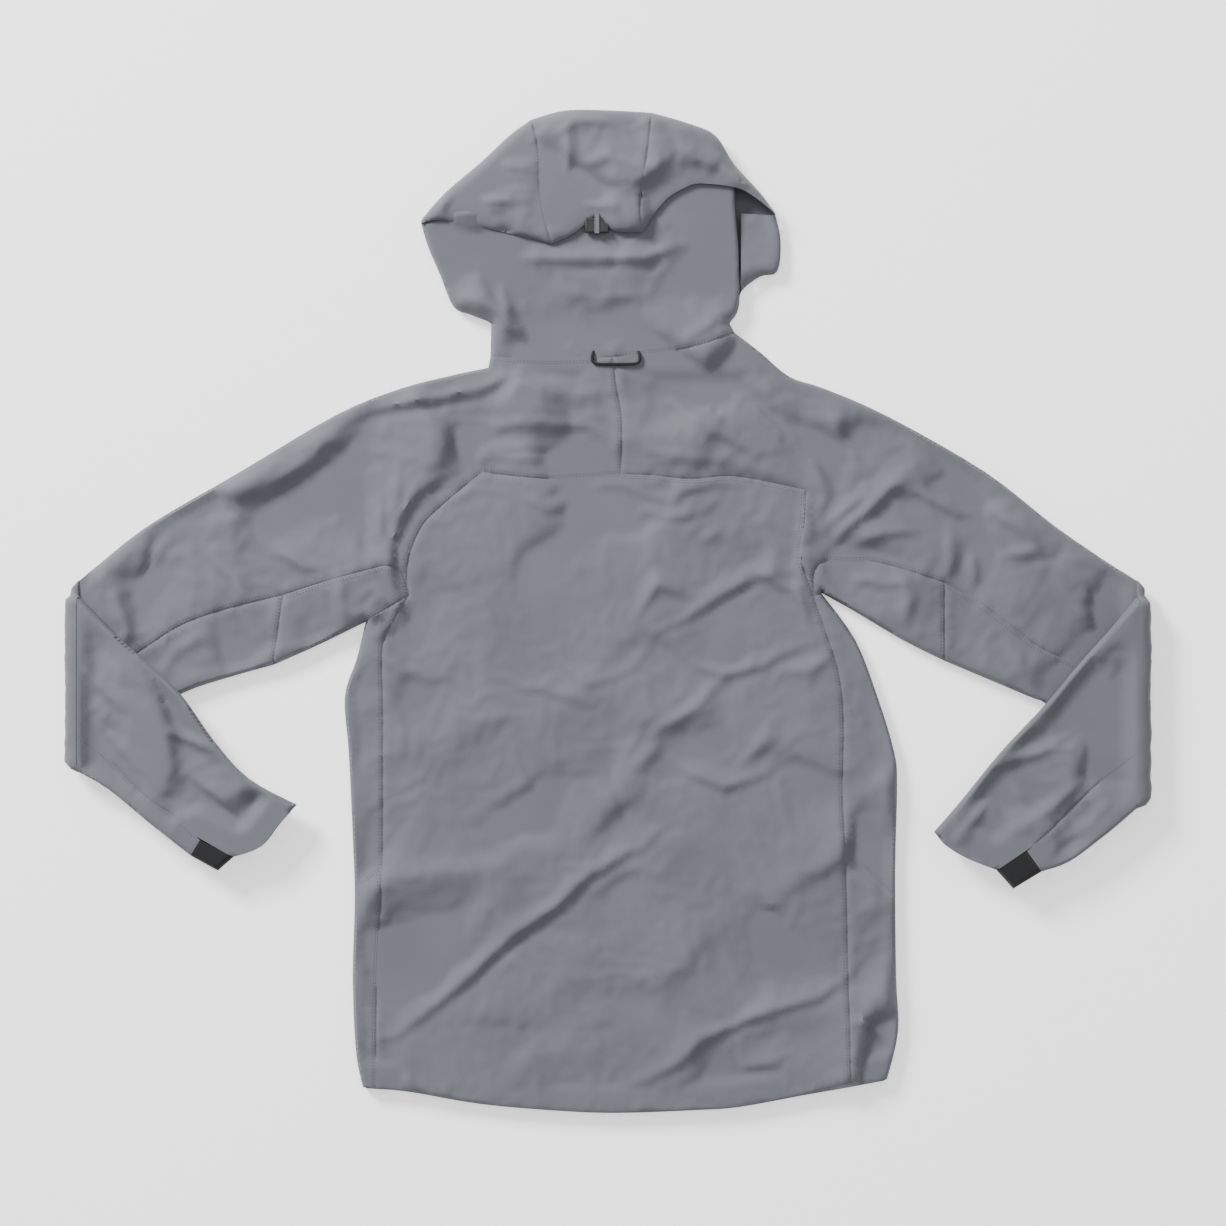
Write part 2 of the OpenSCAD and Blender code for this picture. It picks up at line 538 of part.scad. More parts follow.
// ---------- hood ----------
// The crown has a small tab on its free lower edge that holds the cord lock
module hood_crown_panel() color(shell) {
    translate(hood_lock) box(-2.2, 2.2, -11, 9, 2.8, 3.4);
    plate(outline([rev(crown_l), hood_edge_c, crown_r, rev(flap)]), hood_rise);
    wall(hood_edge_c, cloth_t, hood_rise, -cloth_t);
}
module hood_left_panel() color(shell) {
    plate(outline([hood_edge_l, crown_l, rev(nape_l)]), hood_rise);
    wall(hood_edge_l, cloth_t, hood_rise, -cloth_t);
}
module hood_right_panel() color(shell) {
    plate(outline([hood_edge_r, rev(nape_r), rev(crown_r)]), hood_rise);
    wall(hood_edge_r, cloth_t, hood_rise, -cloth_t);
}
hinge_y = collar_y + neck_gap;
function above_fold(line) = [for (q = line) [q[0], max(q[1], hinge_y + neck_gap)]];
// Sloping panel from the collar up to the nape seam
module hood_neck_panel() color(shell) {
    translate([0, hinge_y, top_z]) rotate([neck_tilt, 0, 0]) translate([0, -hinge_y, 0])
        plate(outline([above_fold(neck_edge_r), neck_top, rev(above_fold(cheek_l)), [above_fold(cheek_l)[0], [0, 0]]]));
}
face_ring = arc(face_c, face_rx, face_ry, 90, 450, 48);
module cheek_half(points, side) difference() {
    plate(points, 0);
    translate([0, 0, -1]) linear_extrude(cloth_t + 2) polygon(face_ring);
    box(side > 0 ? -400 : face_c[0], side > 0 ? face_c[0] : 400, 200, 600, -1, 40);
}
hood_plan = outline([
    above_fold(cheek_l), hood_edge_l, hood_edge_c, hood_edge_r, rev(above_fold(cheek_r)),
    [above_fold(cheek_r)[0], [0, 0]],
]);
module hood_left_cheek_panel() color(shell) {
    cheek_half(hood_plan, -1);
    wall(above_fold(cheek_l), cloth_t, top_z, -cloth_t);
}
module hood_right_cheek_panel() color(shell) {
    cheek_half(hood_plan, 1);
    wall(above_fold(cheek_r), cloth_t, top_z - cloth_t, cloth_t);
    outer = [for (q = cheek_r) if (q[0] > 133 * jacket_w / 1088) q];
    plate(concat([[133 * jacket_w / 1088, outer[0][1]]], outer, [[133 * jacket_w / 1088, 398 * jacket_l / 1004]]),
        top_z - cloth_t);
}
module ring(r0, r1, z, t, a0, a1) {
    plate(concat(
        arc(face_c, face_rx + r0, face_ry + r0, a0, a1, 40),
        rev(arc(face_c, face_rx + r1, face_ry + r1, a0, a1, 40))
    ), z, t);
}
module hood_brim() color(lining) ring(binding_w + 1, 20, cloth_t, 1.6, 35, 145);
module hood_face_binding() color(shell) {
    difference() {
        plate(arc(face_c, face_rx + binding_w, face_ry + binding_w, 0, 360, 48), cloth_t, 1.4);
        translate([0, 0, cloth_t - 1]) linear_extrude(4) polygon(face_ring);
    }
}
hood_lock = [-11 * jacket_w / 1088, 387 * jacket_l / 1004, hood_rise - 3];
module hood_adjuster_cord() color(black) {
    cord([for (k = [-9:9]) hood_lock + [11 * k, 1 + 0.05 * k * k, 0.1]], cord_d / 2 - 0.1);
}
module hood_cord_lock() color(black) translate(hood_lock) difference() {
    box(-12, 12, -10, 5, -2.4, 2.8);
    translate([0, 3, 0.1]) rotate([90, 0, 0]) cylinder(r = 1.85, h = 14);
    rod_x(-13, 13, 1, 0.1, cord_d / 2 + 0.2);
}
module hood_lock_button() color(black) translate(hood_lock) difference() {
    translate([0, 0.8, 0.1]) rotate([90, 0, 0]) cylinder(r = 1.8, h = 12.8);
    box(-3, 3, -1.6, 1.2, -1.3, 1.5);
}
back_panel();
left_shoulder_panel();
right_shoulder_panel();
left_underarm_panel();
right_underarm_panel();
left_undersleeve_panel();
right_undersleeve_panel();
left_side_panel();
right_side_panel();
left_front_panel();
right_front_panel();
left_front_sleeve_panel();
right_front_sleeve_panel();
collar_back_panel();
collar_lining();
left_collar_front();
right_collar_front();
chin_guard();
hang_loop();
zip_facings();
zip_tapes();
zip_coils();
front_zip_slider();
front_zip_pull();
left_pocket_bag();
right_pocket_bag();
left_pocket_slider();
right_pocket_slider();
left_pocket_pull();
right_pocket_pull();
back_hem_fold();
front_hem_folds();
hem_drawcord();
left_hem_lock();
right_hem_lock();
left_hem_button();
right_hem_button();
left_elbow_fold();
right_elbow_fold();
left_forearm_panel();
left_forearm_under_panel();
left_forearm_inner_panel();
left_cuff_elastic();
left_cuff_facing();
right_forearm_panel();
right_forearm_under_panel();
right_forearm_inner_panel();
right_cuff_elastic();
right_cuff_facing();
hood_crown_panel();
hood_left_panel();
hood_right_panel();
hood_neck_panel();
hood_left_cheek_panel();
hood_right_cheek_panel();
hood_brim();
hood_face_binding();
hood_adjuster_cord();
hood_cord_lock();
hood_lock_button();
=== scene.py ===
"""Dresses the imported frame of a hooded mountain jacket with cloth, seams, cords and trims."""

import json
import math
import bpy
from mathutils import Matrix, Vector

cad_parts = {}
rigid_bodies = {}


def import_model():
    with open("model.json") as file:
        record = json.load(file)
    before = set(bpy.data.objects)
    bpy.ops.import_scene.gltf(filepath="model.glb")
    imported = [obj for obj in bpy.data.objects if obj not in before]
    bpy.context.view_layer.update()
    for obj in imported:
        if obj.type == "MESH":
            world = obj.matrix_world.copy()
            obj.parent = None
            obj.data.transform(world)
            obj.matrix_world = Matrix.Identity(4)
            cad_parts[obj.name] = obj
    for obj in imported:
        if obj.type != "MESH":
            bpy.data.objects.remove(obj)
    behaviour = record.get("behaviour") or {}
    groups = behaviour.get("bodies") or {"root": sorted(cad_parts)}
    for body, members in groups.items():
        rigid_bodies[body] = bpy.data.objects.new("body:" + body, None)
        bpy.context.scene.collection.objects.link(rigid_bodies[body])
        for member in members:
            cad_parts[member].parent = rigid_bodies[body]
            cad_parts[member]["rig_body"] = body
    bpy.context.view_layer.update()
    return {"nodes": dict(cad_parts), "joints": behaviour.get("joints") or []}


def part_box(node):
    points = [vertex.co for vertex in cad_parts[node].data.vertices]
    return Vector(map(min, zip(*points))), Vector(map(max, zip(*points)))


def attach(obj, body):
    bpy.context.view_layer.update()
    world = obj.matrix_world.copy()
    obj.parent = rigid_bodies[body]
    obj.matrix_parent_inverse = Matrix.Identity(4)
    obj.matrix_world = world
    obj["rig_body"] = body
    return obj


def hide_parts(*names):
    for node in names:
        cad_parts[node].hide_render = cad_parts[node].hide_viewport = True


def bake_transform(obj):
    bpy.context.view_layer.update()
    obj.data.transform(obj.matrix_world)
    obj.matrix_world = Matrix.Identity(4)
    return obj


bl_info = {
    "name": "Laid Out Hooded Jacket",
    "version": (1, 0, 0),
    "blender": (4, 5, 0),
    "location": "View3D > Sidebar > Jacket",
    "description": "Makes the cloth, stitching, cords and trims of a hooded jacket over its CAD frame",
    "category": "Object",
}

import bmesh
import bpy
import numpy as np
from bpy.props import FloatProperty, FloatVectorProperty, IntProperty, PointerProperty
from bpy.types import Operator, Panel, PropertyGroup
from mathutils import Vector, kdtree, noise
from mathutils.bvhtree import BVHTree
from mathutils.geometry import delaunay_2d_cdt

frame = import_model()

MM = 0.001


# ---------------------------------------------------------------- settings
def length_setting(name, description, default, lowest):
    return FloatProperty(name=name, description=description, default=default, min=lowest, unit="LENGTH")


def colour_setting(name, description, default):
    return FloatVectorProperty(
        name=name,
        description=description,
        subtype="COLOR",
        size=3,
        default=default,
        min=0.0,
        max=1.0,
    )


class JacketCloth(PropertyGroup):
    """How the cloth is cut and how it lies"""

    spacing: length_setting("Point Spacing", "Distance between the points of a finished panel", 0.0046, 0.003)
    drape_spacing: length_setting(
        "Drape Spacing", "Distance between the points of the sheet that is draped", 0.0062, 0.005
    )
    thickness: length_setting("Thickness", "Thickness of the shell cloth", 0.0006, 0.0003)
    slack: FloatProperty(
        name="Slack",
        description="Share by which the cloth is longer than the space it lies in",
        default=0.0045,
        min=0.0,
        max=0.03,
        subtype="FACTOR",
    )
    drape_frames: IntProperty(
        name="Drape Frames",
        description="Frames of cloth simulation",
        default=22,
        min=2,
    )


class JacketColours(PropertyGroup):
    """Colours of the cloth and the trims"""

    shell: colour_setting("Outer Cloth", "Colour of the shell cloth", (0.108, 0.112, 0.13))
    lining: colour_setting(
        "Lining", "Colour of the facings, pocket bags and collar lining", (0.085, 0.088, 0.1)
    )
    black: colour_setting("Black Trim", "Colour of the elastic, cords and plastic", (0.008, 0.008, 0.01))


def cloth():
    return bpy.context.scene.jacket_cloth


def colours():
    return bpy.context.scene.jacket_colours


# ---------------------------------------------------------------- places taken from the frame
def low(node):
    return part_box(node)[0]


def high(node):
    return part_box(node)[1]


def hinge(name):
    """A point on the axis of a joint."""
    return Vector(next(j for j in frame["joints"] if j["name"] == name)["pos_m"])


ELBOW = hinge("right_sleeve_fold")
NECK = hinge("hood_fold")
TOP = high("back_panel").z - 0.2 * MM
FORE_LOW = low("left_forearm_inner_panel").z + 0.3 * MM
FORE_TOP = high("left_forearm_panel").z - 0.2 * MM
CROWN = high("hood_crown_panel").z
BODY_MID = 6.5 * MM
HOOD_MID = 9 * MM
FORE_MID = (FORE_LOW + FORE_TOP) / 2
# How far the forearms' tops sink between their edges, over what height their crests are squashed,
# and by what angle an unfolded forearm stays short of flat
FOREARM_SINK = 4.5 * MM
CREST_SQUASH = 2.5 * MM
SHORT_OF_FLAT = math.radians(1)
NECK_BEND = (Vector((0, NECK.y - 2 * MM, TOP)), Vector((0, NECK.y + 24 * MM, TOP)))


def sided(*parts):
    """Names of the left and the right one of each part."""
    return tuple(f"{side}_{part}" for part in parts for side in ("left", "right"))


BODY_TOP = (
    "back_panel",
    *sided("shoulder_panel", "underarm_panel", "undersleeve_panel", "side_panel"),
    "collar_back_panel",
    "hood_neck_panel",
)
BODY_UNDER = (
    *sided("front_panel", "front_sleeve_panel", "side_panel", "collar_front"),
    "hood_left_cheek_panel",
    "hood_right_cheek_panel",
)
CROWN_TOP = ("hood_crown_panel", "hood_left_panel", "hood_right_panel")


# Distance between the points of a layer that only lends its edges
ROUGH_SPACING = 0.006
# How far from the elbow's axis and from an edge the cloth still feels it
ELBOW_REACH = 0.03
AXIS_REACH = 0.02
EDGE_REACH = 0.013
# The band along a hem over which its second layer fades out
BACKING = (0.02, 0.034)
# Radii over which the cloth rolls down at its edges
EDGE_RADIUS = 0.005
CROWN_RADIUS = 0.011
FLAP_RADIUS = 0.0075
# Length of a stitch with its gap, and its height over the cloth
STITCH_PITCH = 3.3 * MM
STITCH_LIFT = 0.35 * MM
# Angles over which edges are shaded sharp
CLOTH_SHARP = math.radians(55)
TRIM_SHARP = math.radians(40)


# ---------------------------------------------------------------- outlines of the panels
def face_loops(node, side, height=None):
    """Outlines in plan of the flat cloth of a node that looks up (side 1) or down (side -1)."""
    mesh = frame["nodes"][node].data
    edges = set()
    for face in mesh.polygons:
        corners = [mesh.vertices[i].co for i in face.vertices]
        if face.normal.z * side < 0.95:
            continue
        if height is not None and abs(corners[0].z - height) > 0.3 * MM:
            continue
        keys = [(round(c.x, 5), round(c.y, 5)) for c in corners]
        if side < 0:
            keys.reverse()
        edges.update(zip(keys, keys[1:] + keys[:1]))
    after = {a: b for a, b in edges if (b, a) not in edges and a != b}
    loops = []
    while after:
        start = next(iter(after))
        loop = [start]
        point = after.pop(start)
        while point != start and point in after:
            loop.append(point)
            point = after.pop(point)
        if len(loop) > 2:
            loops.append(loop)
    return sorted(loops, key=lambda loop: -abs(area_of(loop)))


def area_of(loop):
    pts = np.array(loop)
    x, y = pts[:, 0], pts[:, 1]
    return 0.5 * float(np.sum(x * np.roll(y, -1) - y * np.roll(x, -1)))


def close_neck_gap(loop):
    """The cloth is whole across the neck, where the frame has a gap for the hinge."""
    gap = 1.2 * MM
    return [(x, NECK.y if abs(y - NECK.y) < gap else y) for x, y in loop]


def inside(loop, points):
    """Which of the points are inside the outline."""
    pts = np.array(loop)
    result = np.zeros(len(points), bool)
    for (ax, ay), (bx, by) in zip(pts, np.roll(pts, -1, axis=0)):
        if ay == by:
            continue
        crosses = (ay > points[:, 1]) != (by > points[:, 1])
        result ^= crosses & (points[:, 0] < (bx - ax) * (points[:, 1] - ay) / (by - ay) + ax)
    return result


def point_tree(points):
    tree = kdtree.KDTree(len(points))
    for k, point in enumerate(points):
        tree.insert((point[0], point[1], 0), k)
    tree.balance()
    return tree


class Layer:
    """Panels of one layer of cloth, meshed together, so that neighbours share the points of their seams."""

    seam_rows = (1.1 * MM, 2.8 * MM)
    edge_rows = (0.5 * MM, 1.6 * MM, 3.2 * MM, 5.2 * MM)

    def __init__(self, outlines, spacing, partner=None, open_ends=(), rows=True):
        self.outlines = outlines
        self.names = list(outlines)
        self.spacing = spacing
        self.keys = {}
        self.boundary = {}
        coords, faces = [], []
        for number, loops in enumerate(outlines.values()):
            for k, loop in enumerate(loops):
                if (area_of(loop) > 0) == (k > 0):
                    loop = loop[::-1]
                ring = self.resample(loop, coords)
                for a, b in zip(ring, ring[1:] + ring[:1]):
                    self.boundary.setdefault((min(a, b), max(a, b)), []).append(number)
                if k == 0:
                    faces.append(ring)
        rim = np.array(coords)
        self.find_kinds(rim)
        if partner:
            self.fold_with(partner, open_ends)
        tree = point_tree(coords)
        if rows:
            coords += self.rows(rim, tree)
            tree = point_tree(coords)
        coords += self.grid(rim, tree, spacing)
        self.partner = partner
        self.open_ends = open_ends
        edges = list(self.boundary)
        result = delaunay_2d_cdt([Vector(p) for p in coords], edges, faces, 0, 1e-6)
        self.points = np.array([v[:] for v in result[0]])
        triangles, owners = [], []
        for corners, origin in zip(result[2], result[5]):
            if origin:
                triangles.append(corners)
                owners.append(origin[0])
        self.triangles = np.array(triangles)
        self.owners = np.array(owners)
        self.cut_holes()

    def resample(self, loop, coords):
        ring = []
        for a, b in zip(loop, loop[1:] + loop[:1]):
            swap = b < a
            first, last = (b, a) if swap else (a, b)
            steps = max(1, round(math.dist(a, b) / self.spacing))
            line = []
            for k in range(steps + 1):
                t = k / steps
                point = (first[0] + (last[0] - first[0]) * t, first[1] + (last[1] - first[1]) * t)
                key = (round(point[0] * 1e5), round(point[1] * 1e5))
                if key not in self.keys:
                    self.keys[key] = len(coords)
                    coords.append(point)
                line.append(self.keys[key])
            if swap:
                line.reverse()
            ring += line[:-1]
        return [p for k, p in enumerate(ring) if p != ring[k - 1]]

    def find_kinds(self, rim):
        """Sorts the edges into seams, open edges, hems, and those on the elbow's axis."""
        self.kind = {}
        self.rim = rim
        for (a, b), owners in self.boundary.items():
            middle = (rim[a] + rim[b]) / 2
            along = rim[b] - rim[a]
            level = abs(along[1]) < abs(along[0])
            if rim[a][1] == rim[b][1] == NECK.y:
                kind = "none"
            elif len(owners) > 1:
                kind = "seam"
            elif abs(middle[0]) > ELBOW.x - 1.5 * MM:
                kind = "axis"
            elif middle[1] < low("left_hem_lock").y + 12 * MM and level:
                kind = "hem"
            else:
                kind = "free"
            self.kind[(a, b)] = kind

    def outer_line(self):
        """Points close together along all the edges that belong to one panel."""
        points = []
        for (a, b), owners in self.boundary.items():
            if len(owners) > 1 or self.kind[(a, b)] in ("none", "hem"):
                continue
            start, end = self.rim[a], self.rim[b]
            steps = max(1, round(math.dist(start, end) / (0.7 * MM)))
            points += [tuple(start + (end - start) * k / steps) for k in range(steps)]
        return points

    def fold_with(self, other, open_ends=()):
        """Edges where this layer meets another are folded edges, except near its open ends."""
        theirs = point_tree(other.outer_line())
        ends = point_tree(open_ends) if len(open_ends) else None
        for a, b in self.boundary:
            middle = (*((self.rim[a] + self.rim[b]) / 2), 0)
            if self.kind[(a, b)] != "free" or theirs.find(middle)[2] > 1.2 * MM:
                continue
            if ends is None or ends.find(middle)[2] > 2.2 * MM:
                self.kind[(a, b)] = "fold"

    def grid(self, rim, tree, spacing):
        lowest, highest = rim.min(0), rim.max(0)
        rise = spacing * math.sqrt(3) / 2
        points = []
        for row in range(int((highest[1] - lowest[1]) / rise) + 1):
            y = lowest[1] + row * rise
            shift = spacing / 2 * (row % 2)
            for column in range(int((highest[0] - lowest[0]) / spacing) + 1):
                x = lowest[0] + column * spacing + shift
                if tree.find((x, y, 0))[2] > spacing * 0.75:
                    points.append((x, y))
        return points

    def rows(self, rim, tree):
        points = []
        for (a, b), kind in self.kind.items():
            if kind == "none":
                continue
            along = rim[b] - rim[a]
            length = np.linalg.norm(along)
            if length < 1e-6:
                continue
            out = np.array((-along[1], along[0])) / length
            for row in self.seam_rows if kind == "seam" else self.edge_rows:
                for side in (-1, 1):
                    point = (rim[a] + rim[b]) / 2 + out * row * side
                    if tree.find((*point, 0))[2] > row * 0.9:
                        points.append(tuple(point))
        return points

    def cut_holes(self):
        centres = self.points[self.triangles].mean(1)
        keep = np.ones(len(centres), bool)
        for number, loops in enumerate(self.outlines.values()):
            for hole in loops[1:]:
                keep &= ~(inside(hole, centres) & (self.owners == number))
        self.triangles = self.triangles[keep]
        self.owners = self.owners[keep]

    def distance(self, kinds):
        """Distance of each point from the nearest edge of these kinds."""
        samples = []
        for (a, b), kind in self.kind.items():
            if kind not in kinds:
                continue
            steps = max(1, round(np.linalg.norm(self.rim[b] - self.rim[a]) / (0.8 * MM)))
            for k in range(steps + 1):
                samples.append(self.rim[a] + (self.rim[b] - self.rim[a]) * k / steps)
        if not samples:
            return np.full(len(self.points), 1.0)
        tree = point_tree(samples)
        return np.array([tree.find((x, y, 0))[2] for x, y in self.points])

    def panel(self, *names):
        """Points and triangles of some panels, with their places in the layer."""
        wanted = np.isin(self.owners, [self.names.index(n) for n in names])
        used, corners = np.unique(self.triangles[wanted], return_inverse=True)
        return used, corners.reshape(-1, 3)


# ---------------------------------------------------------------- folds
# Each fold is a height in mm, the widths of its soft and its steep side, and its route in mm.
# The soft side is on the left of the route, unless the widths say otherwise.
BACK_FOLDS = (
    (
        6.5, 22, 6,
        ((-213, -423), (-186, -404), (-149, -374), (-96, -324), (-52, -295), (-21, -264), (44, -226)),
    ),
    (5.0, 18, 6, ((28, -473), (69, -452), (91, -429), (126, -412), (164, -398), (212, -385), (241, -362))),
    (3.0, 12, 5, ((132, -458), (164, -450), (183, -439))),
    (4.5, 10, 6, ((28, -4), (49, 28), (82, 15))),
    (5.0, 14, 6, ((67, -12), (107, 13), (145, 34), (189, 41))),
    (4.5, 12, 6, ((84, -52), (116, -64), (155, -52), (183, -41))),
    (3.8, 10, 7, ((116, -64), (95, -91), (47, -121))),
    (3.8, 10, 7, ((174, -106), (157, -129), (132, -156))),
    (4.0, 12, 6, ((69, -146), (84, -161), (116, -175), (157, -161))),
    (2.8, 9, 6, ((49, -133), (28, -157))),
    (3.2, 14, 7, ((-96, -71), (-61, -77), (-17, -91))),
    (3.2, 12, 6, ((-44, -52), (-21, -70), (7, -64))),
    (3.5, 26, 18, ((-153, -217), (-123, -196), (-77, -169))),
    (3.6, 9, 5, ((-81, 114), (-63, 105), (-47, 105), (-31, 119), (12, 125), (31, 119))),
    (2.6, 8, 5, ((-68, 116), (-36, 132))),
    (3.2, 8, 5, ((35, 117), (60, 109), (71, 119), (106, 130), (117, 126))),
    (3.4, 10, 5, ((22, 89), (38, 100), (60, 98), (76, 94), (106, 107))),
    (2.6, 9, 5, ((94, 69), (113, 81))),
    (3.0, 20, 14, ((-170, -40), (-150, -110), (-160, -190))),
    (3.0, 24, 16, ((120, -230), (150, -280), (190, -310))),
    (3.0, 22, 16, ((-30, -380), (30, -370), (90, -350))),
    (2.6, 20, 14, ((-180, 40), (-140, 20), (-110, -20))),
    (2.6, 18, 12, ((150, 95), (165, 60), (160, 20))),
    (2.2, 7, 7, ((-203, -494), (-203, -478), (-199, -462))),
    (2.0, 7, 7, ((0, -502), (2, -490), (0, -474))),
    (2.0, 7, 7, ((30, -502), (33, -490), (36, -476))),
    (2.0, 7, 7, ((176, -490), (178, -478), (178, -464))),
    (3.4, 9, 6, ((-233, -29), (-219, -12), (-203, 6))),
    (3.2, 12, 8, ((-222, -40), (-205, -60), (-170, -66))),
    (4.2, 10, 6, ((198, 0), (185, 22), (150, 40))),
    (3.4, 12, 8, ((225, -40), (200, -60), (170, -58))),
)
YOKE_FOLDS = (
    (3.2, 14, 10, ((-191, 198), (-168, 191), (-143, 191), (-107, 185), (-45, 187), (-18, 185), (-4, 178))),
    (5.0, 16, 7, ((-268, 194), (-223, 205), (-168, 215), (-125, 224), (-98, 236), (-72, 242))),
    (5.0, 10, 7, ((56, 214), (72, 203), (92, 189), (117, 175), (146, 160))),
    (-4.0, 14, 14, ((92, 250), (121, 230), (149, 210), (171, 187), (197, 171))),
    (5.0, 10, 8, ((184, 178), (206, 146), (217, 117), (210, 92))),
    (3.2, 12, 7, ((222, 202), (231, 175), (251, 150))),
    (2.6, 14, 9, ((-150, 160), (-90, 152), (-30, 156))),
    (2.6, 14, 9, ((30, 160), (80, 152), (130, 150))),
    (2.6, 16, 9, ((-60, 225), (-30, 214), (-8, 214))),
)
# Where the sleeves' edge stands over the back, and the back is tucked under
STEP_FOLDS = (
    (
        6.5, 20, 2.6,
        ((-205, -6), (-213, 20), (-217, 45), (-215, 70), (-207, 96), (-192, 116), (-168, 133), (-150, 140)),
    ),
    (5.5, 2.6, 16, ((196, -4), (190, 24), (193, 60), (195, 92), (196, 112), (196, 124))),
    (3.5, 2.6, 16, ((196, 126), (170, 134), (140, 142), (112, 147))),
    (3.4, 8, 2.6, ((-133, 154), (-128, 150), (-122, 146))),
    (5.0, 14, 3.0, ((-262, -26), (-240, -10), (-222, 0), (-206, 6))),
    (3.2, 7, 2.6, ((-252, 10), (-236, 22), (-222, 12), (-208, 2))),
    (3.0, 7, 2.6, ((-240, 2), (-230, 12), (-216, 6))),
    (1.6, 10, 8.0, ((-76, 188), (-46, 186), (-20, 184), (-5, 174))),
    (3.6, 10, 3.0, ((120, 216), (146, 200), (170, 176), (186, 160))),
    (4.0, 3.0, 12, ((118, 268), (150, 236), (178, 206), (196, 182))),
    (2.6, 4, 4, ((108, 142), (112, 152), (122, 160))),
)
SLEEVE_FOLDS = (
    (4.6, 14, 6, ((284, 125), (314, 117), (351, 98), (384, 99))),
    (5.0, 12, 7, ((384, 98), (410, 84), (435, 64))),
    (3.6, 10, 6, ((396, 56), (416, 58), (435, 64))),
    (3.6, 10, 6, ((214, 84), (241, 104), (257, 119))),
    (5.0, 13, 7, ((210, 56), (236, 82), (263, 104), (294, 133))),
    (3.6, 10, 6, ((249, 68), (274, 78), (302, 80))),
    (3.0, 9, 5, ((237, 35), (270, 29), (306, 27))),
    (3.2, 9, 6, ((339, 80), (342, 55), (339, 31))),
    (3.2, 9, 6, ((363, 58), (367, 25))),
    (3.4, 14, 8, ((450, 30), (470, 0), (500, -30))),
    (
        3.8, 18, 14,
        ((-451, 88), (-407, 88), (-378, 92), (-351, 109), (-305, 147), (-284, 166), (-233, 186), (-192, 200)),
    ),
    (-4.5, 12, 12, ((-451, 88), (-460, 47), (-478, 9))),
    (4.0, 12, 6, ((-219, 51), (-229, 76), (-227, 117))),
    (3.6, 9, 6, ((-215, 98), (-209, 136))),
    (3.2, 9, 6, ((-335, 60), (-319, 55), (-305, 45), (-288, 43))),
    (3.4, 14, 8, ((-500, 30), (-480, -20), (-500, -70))),
    (3.0, 14, 8, ((-400, 60), (-370, 30), (-350, -10))),
    (2.6, 10, 7, ((-270, 40), (-268, 10), (-262, -14))),
    (2.6, 10, 7, ((-400, -20), (-430, -40), (-450, -70))),
    (2.6, 10, 7, ((290, 40), (300, 10), (292, -16))),
    (2.6, 10, 7, ((390, -20), (410, -45), (420, -70))),
)
NECK_FOLDS = (
    (5.5, 10, 7, ((-84, 352), (-65, 352), (-14, 353), (37, 353), (62, 362), (80, 372))),
    (3.4, 8, 6, ((-114, 352), (-106, 322), (-98, 291), (-78, 268))),
    (3.2, 8, 6, ((-116, 294), (-98, 284), (-81, 271))),
    (3.2, 8, 6, ((78, 272), (96, 282), (113, 294))),
    (3.0, 14, 9, ((-60, 320), (-10, 312), (50, 318))),
    (2.0, 3, 3, ((-42, 256), (-41, 266))),
    (2.0, 3, 3, ((-36, 256), (-35, 268))),
    (2.0, 3, 3, ((-30, 256), (-29, 265))),
)
HOOD_FOLDS = (
    (4.0, 8, 6, ((-41, 478), (-40, 444), (-42, 432), (-24, 428))),
    (4.0, 10, 6, ((-20, 444), (1, 452), (27, 434))),
    (3.8, 12, 8, ((-6, 428), (18, 432), (47, 439), (57, 457))),
    (3.5, 12, 7, ((-111, 447), (-95, 441), (-75, 439))),
    (4.0, 14, 7, ((-150, 418), (-120, 408), (-84, 408))),
    (4.0, 12, 8, ((70, 470), (86, 450), (112, 440))),
    (3.5, 12, 8, ((-30, 406), (-10, 402), (16, 404))),
    (3.5, 12, 8, ((-60, 470), (-30, 486), (10, 488))),
    (3.5, 10, 7, ((120, 436), (138, 424), (150, 420))),
)
LEFT_FOREARM_FOLDS = (
    (
        4.5, 12, 5,
        ((-536, -44), (-516, -64), (-492, -88), (-447, -116), (-416, -129), (-388, -140), (-351, -164)),
    ),
    (3.0, 10, 6, ((-500, -30), (-480, -60), (-440, -86))),
    (3.0, 10, 6, ((-500, -120), (-470, -150), (-440, -176))),
    (2.6, 8, 5, ((-420, -160), (-390, -184), (-366, -208))),
    (2.2, 6, 4, ((-360, -196), (-366, -214), (-360, -230))),
)
RIGHT_FOREARM_FOLDS = (
    (4.2, 8, 10, ((487, -94), (476, -113), (430, -140), (379, -156))),
    (3.2, 6, 9, ((398, -168), (410, -182), (426, -194))),
    (3.4, 6, 9, ((345, -230), (368, -202), (384, -184))),
    (3.4, 9, 7, ((505, -60), (496, -110), (500, -160))),
    (3.0, 10, 7, ((470, -170), (446, -190), (420, -210))),
    (2.6, 8, 6, ((500, -190), (480, -212), (452, -230))),
)


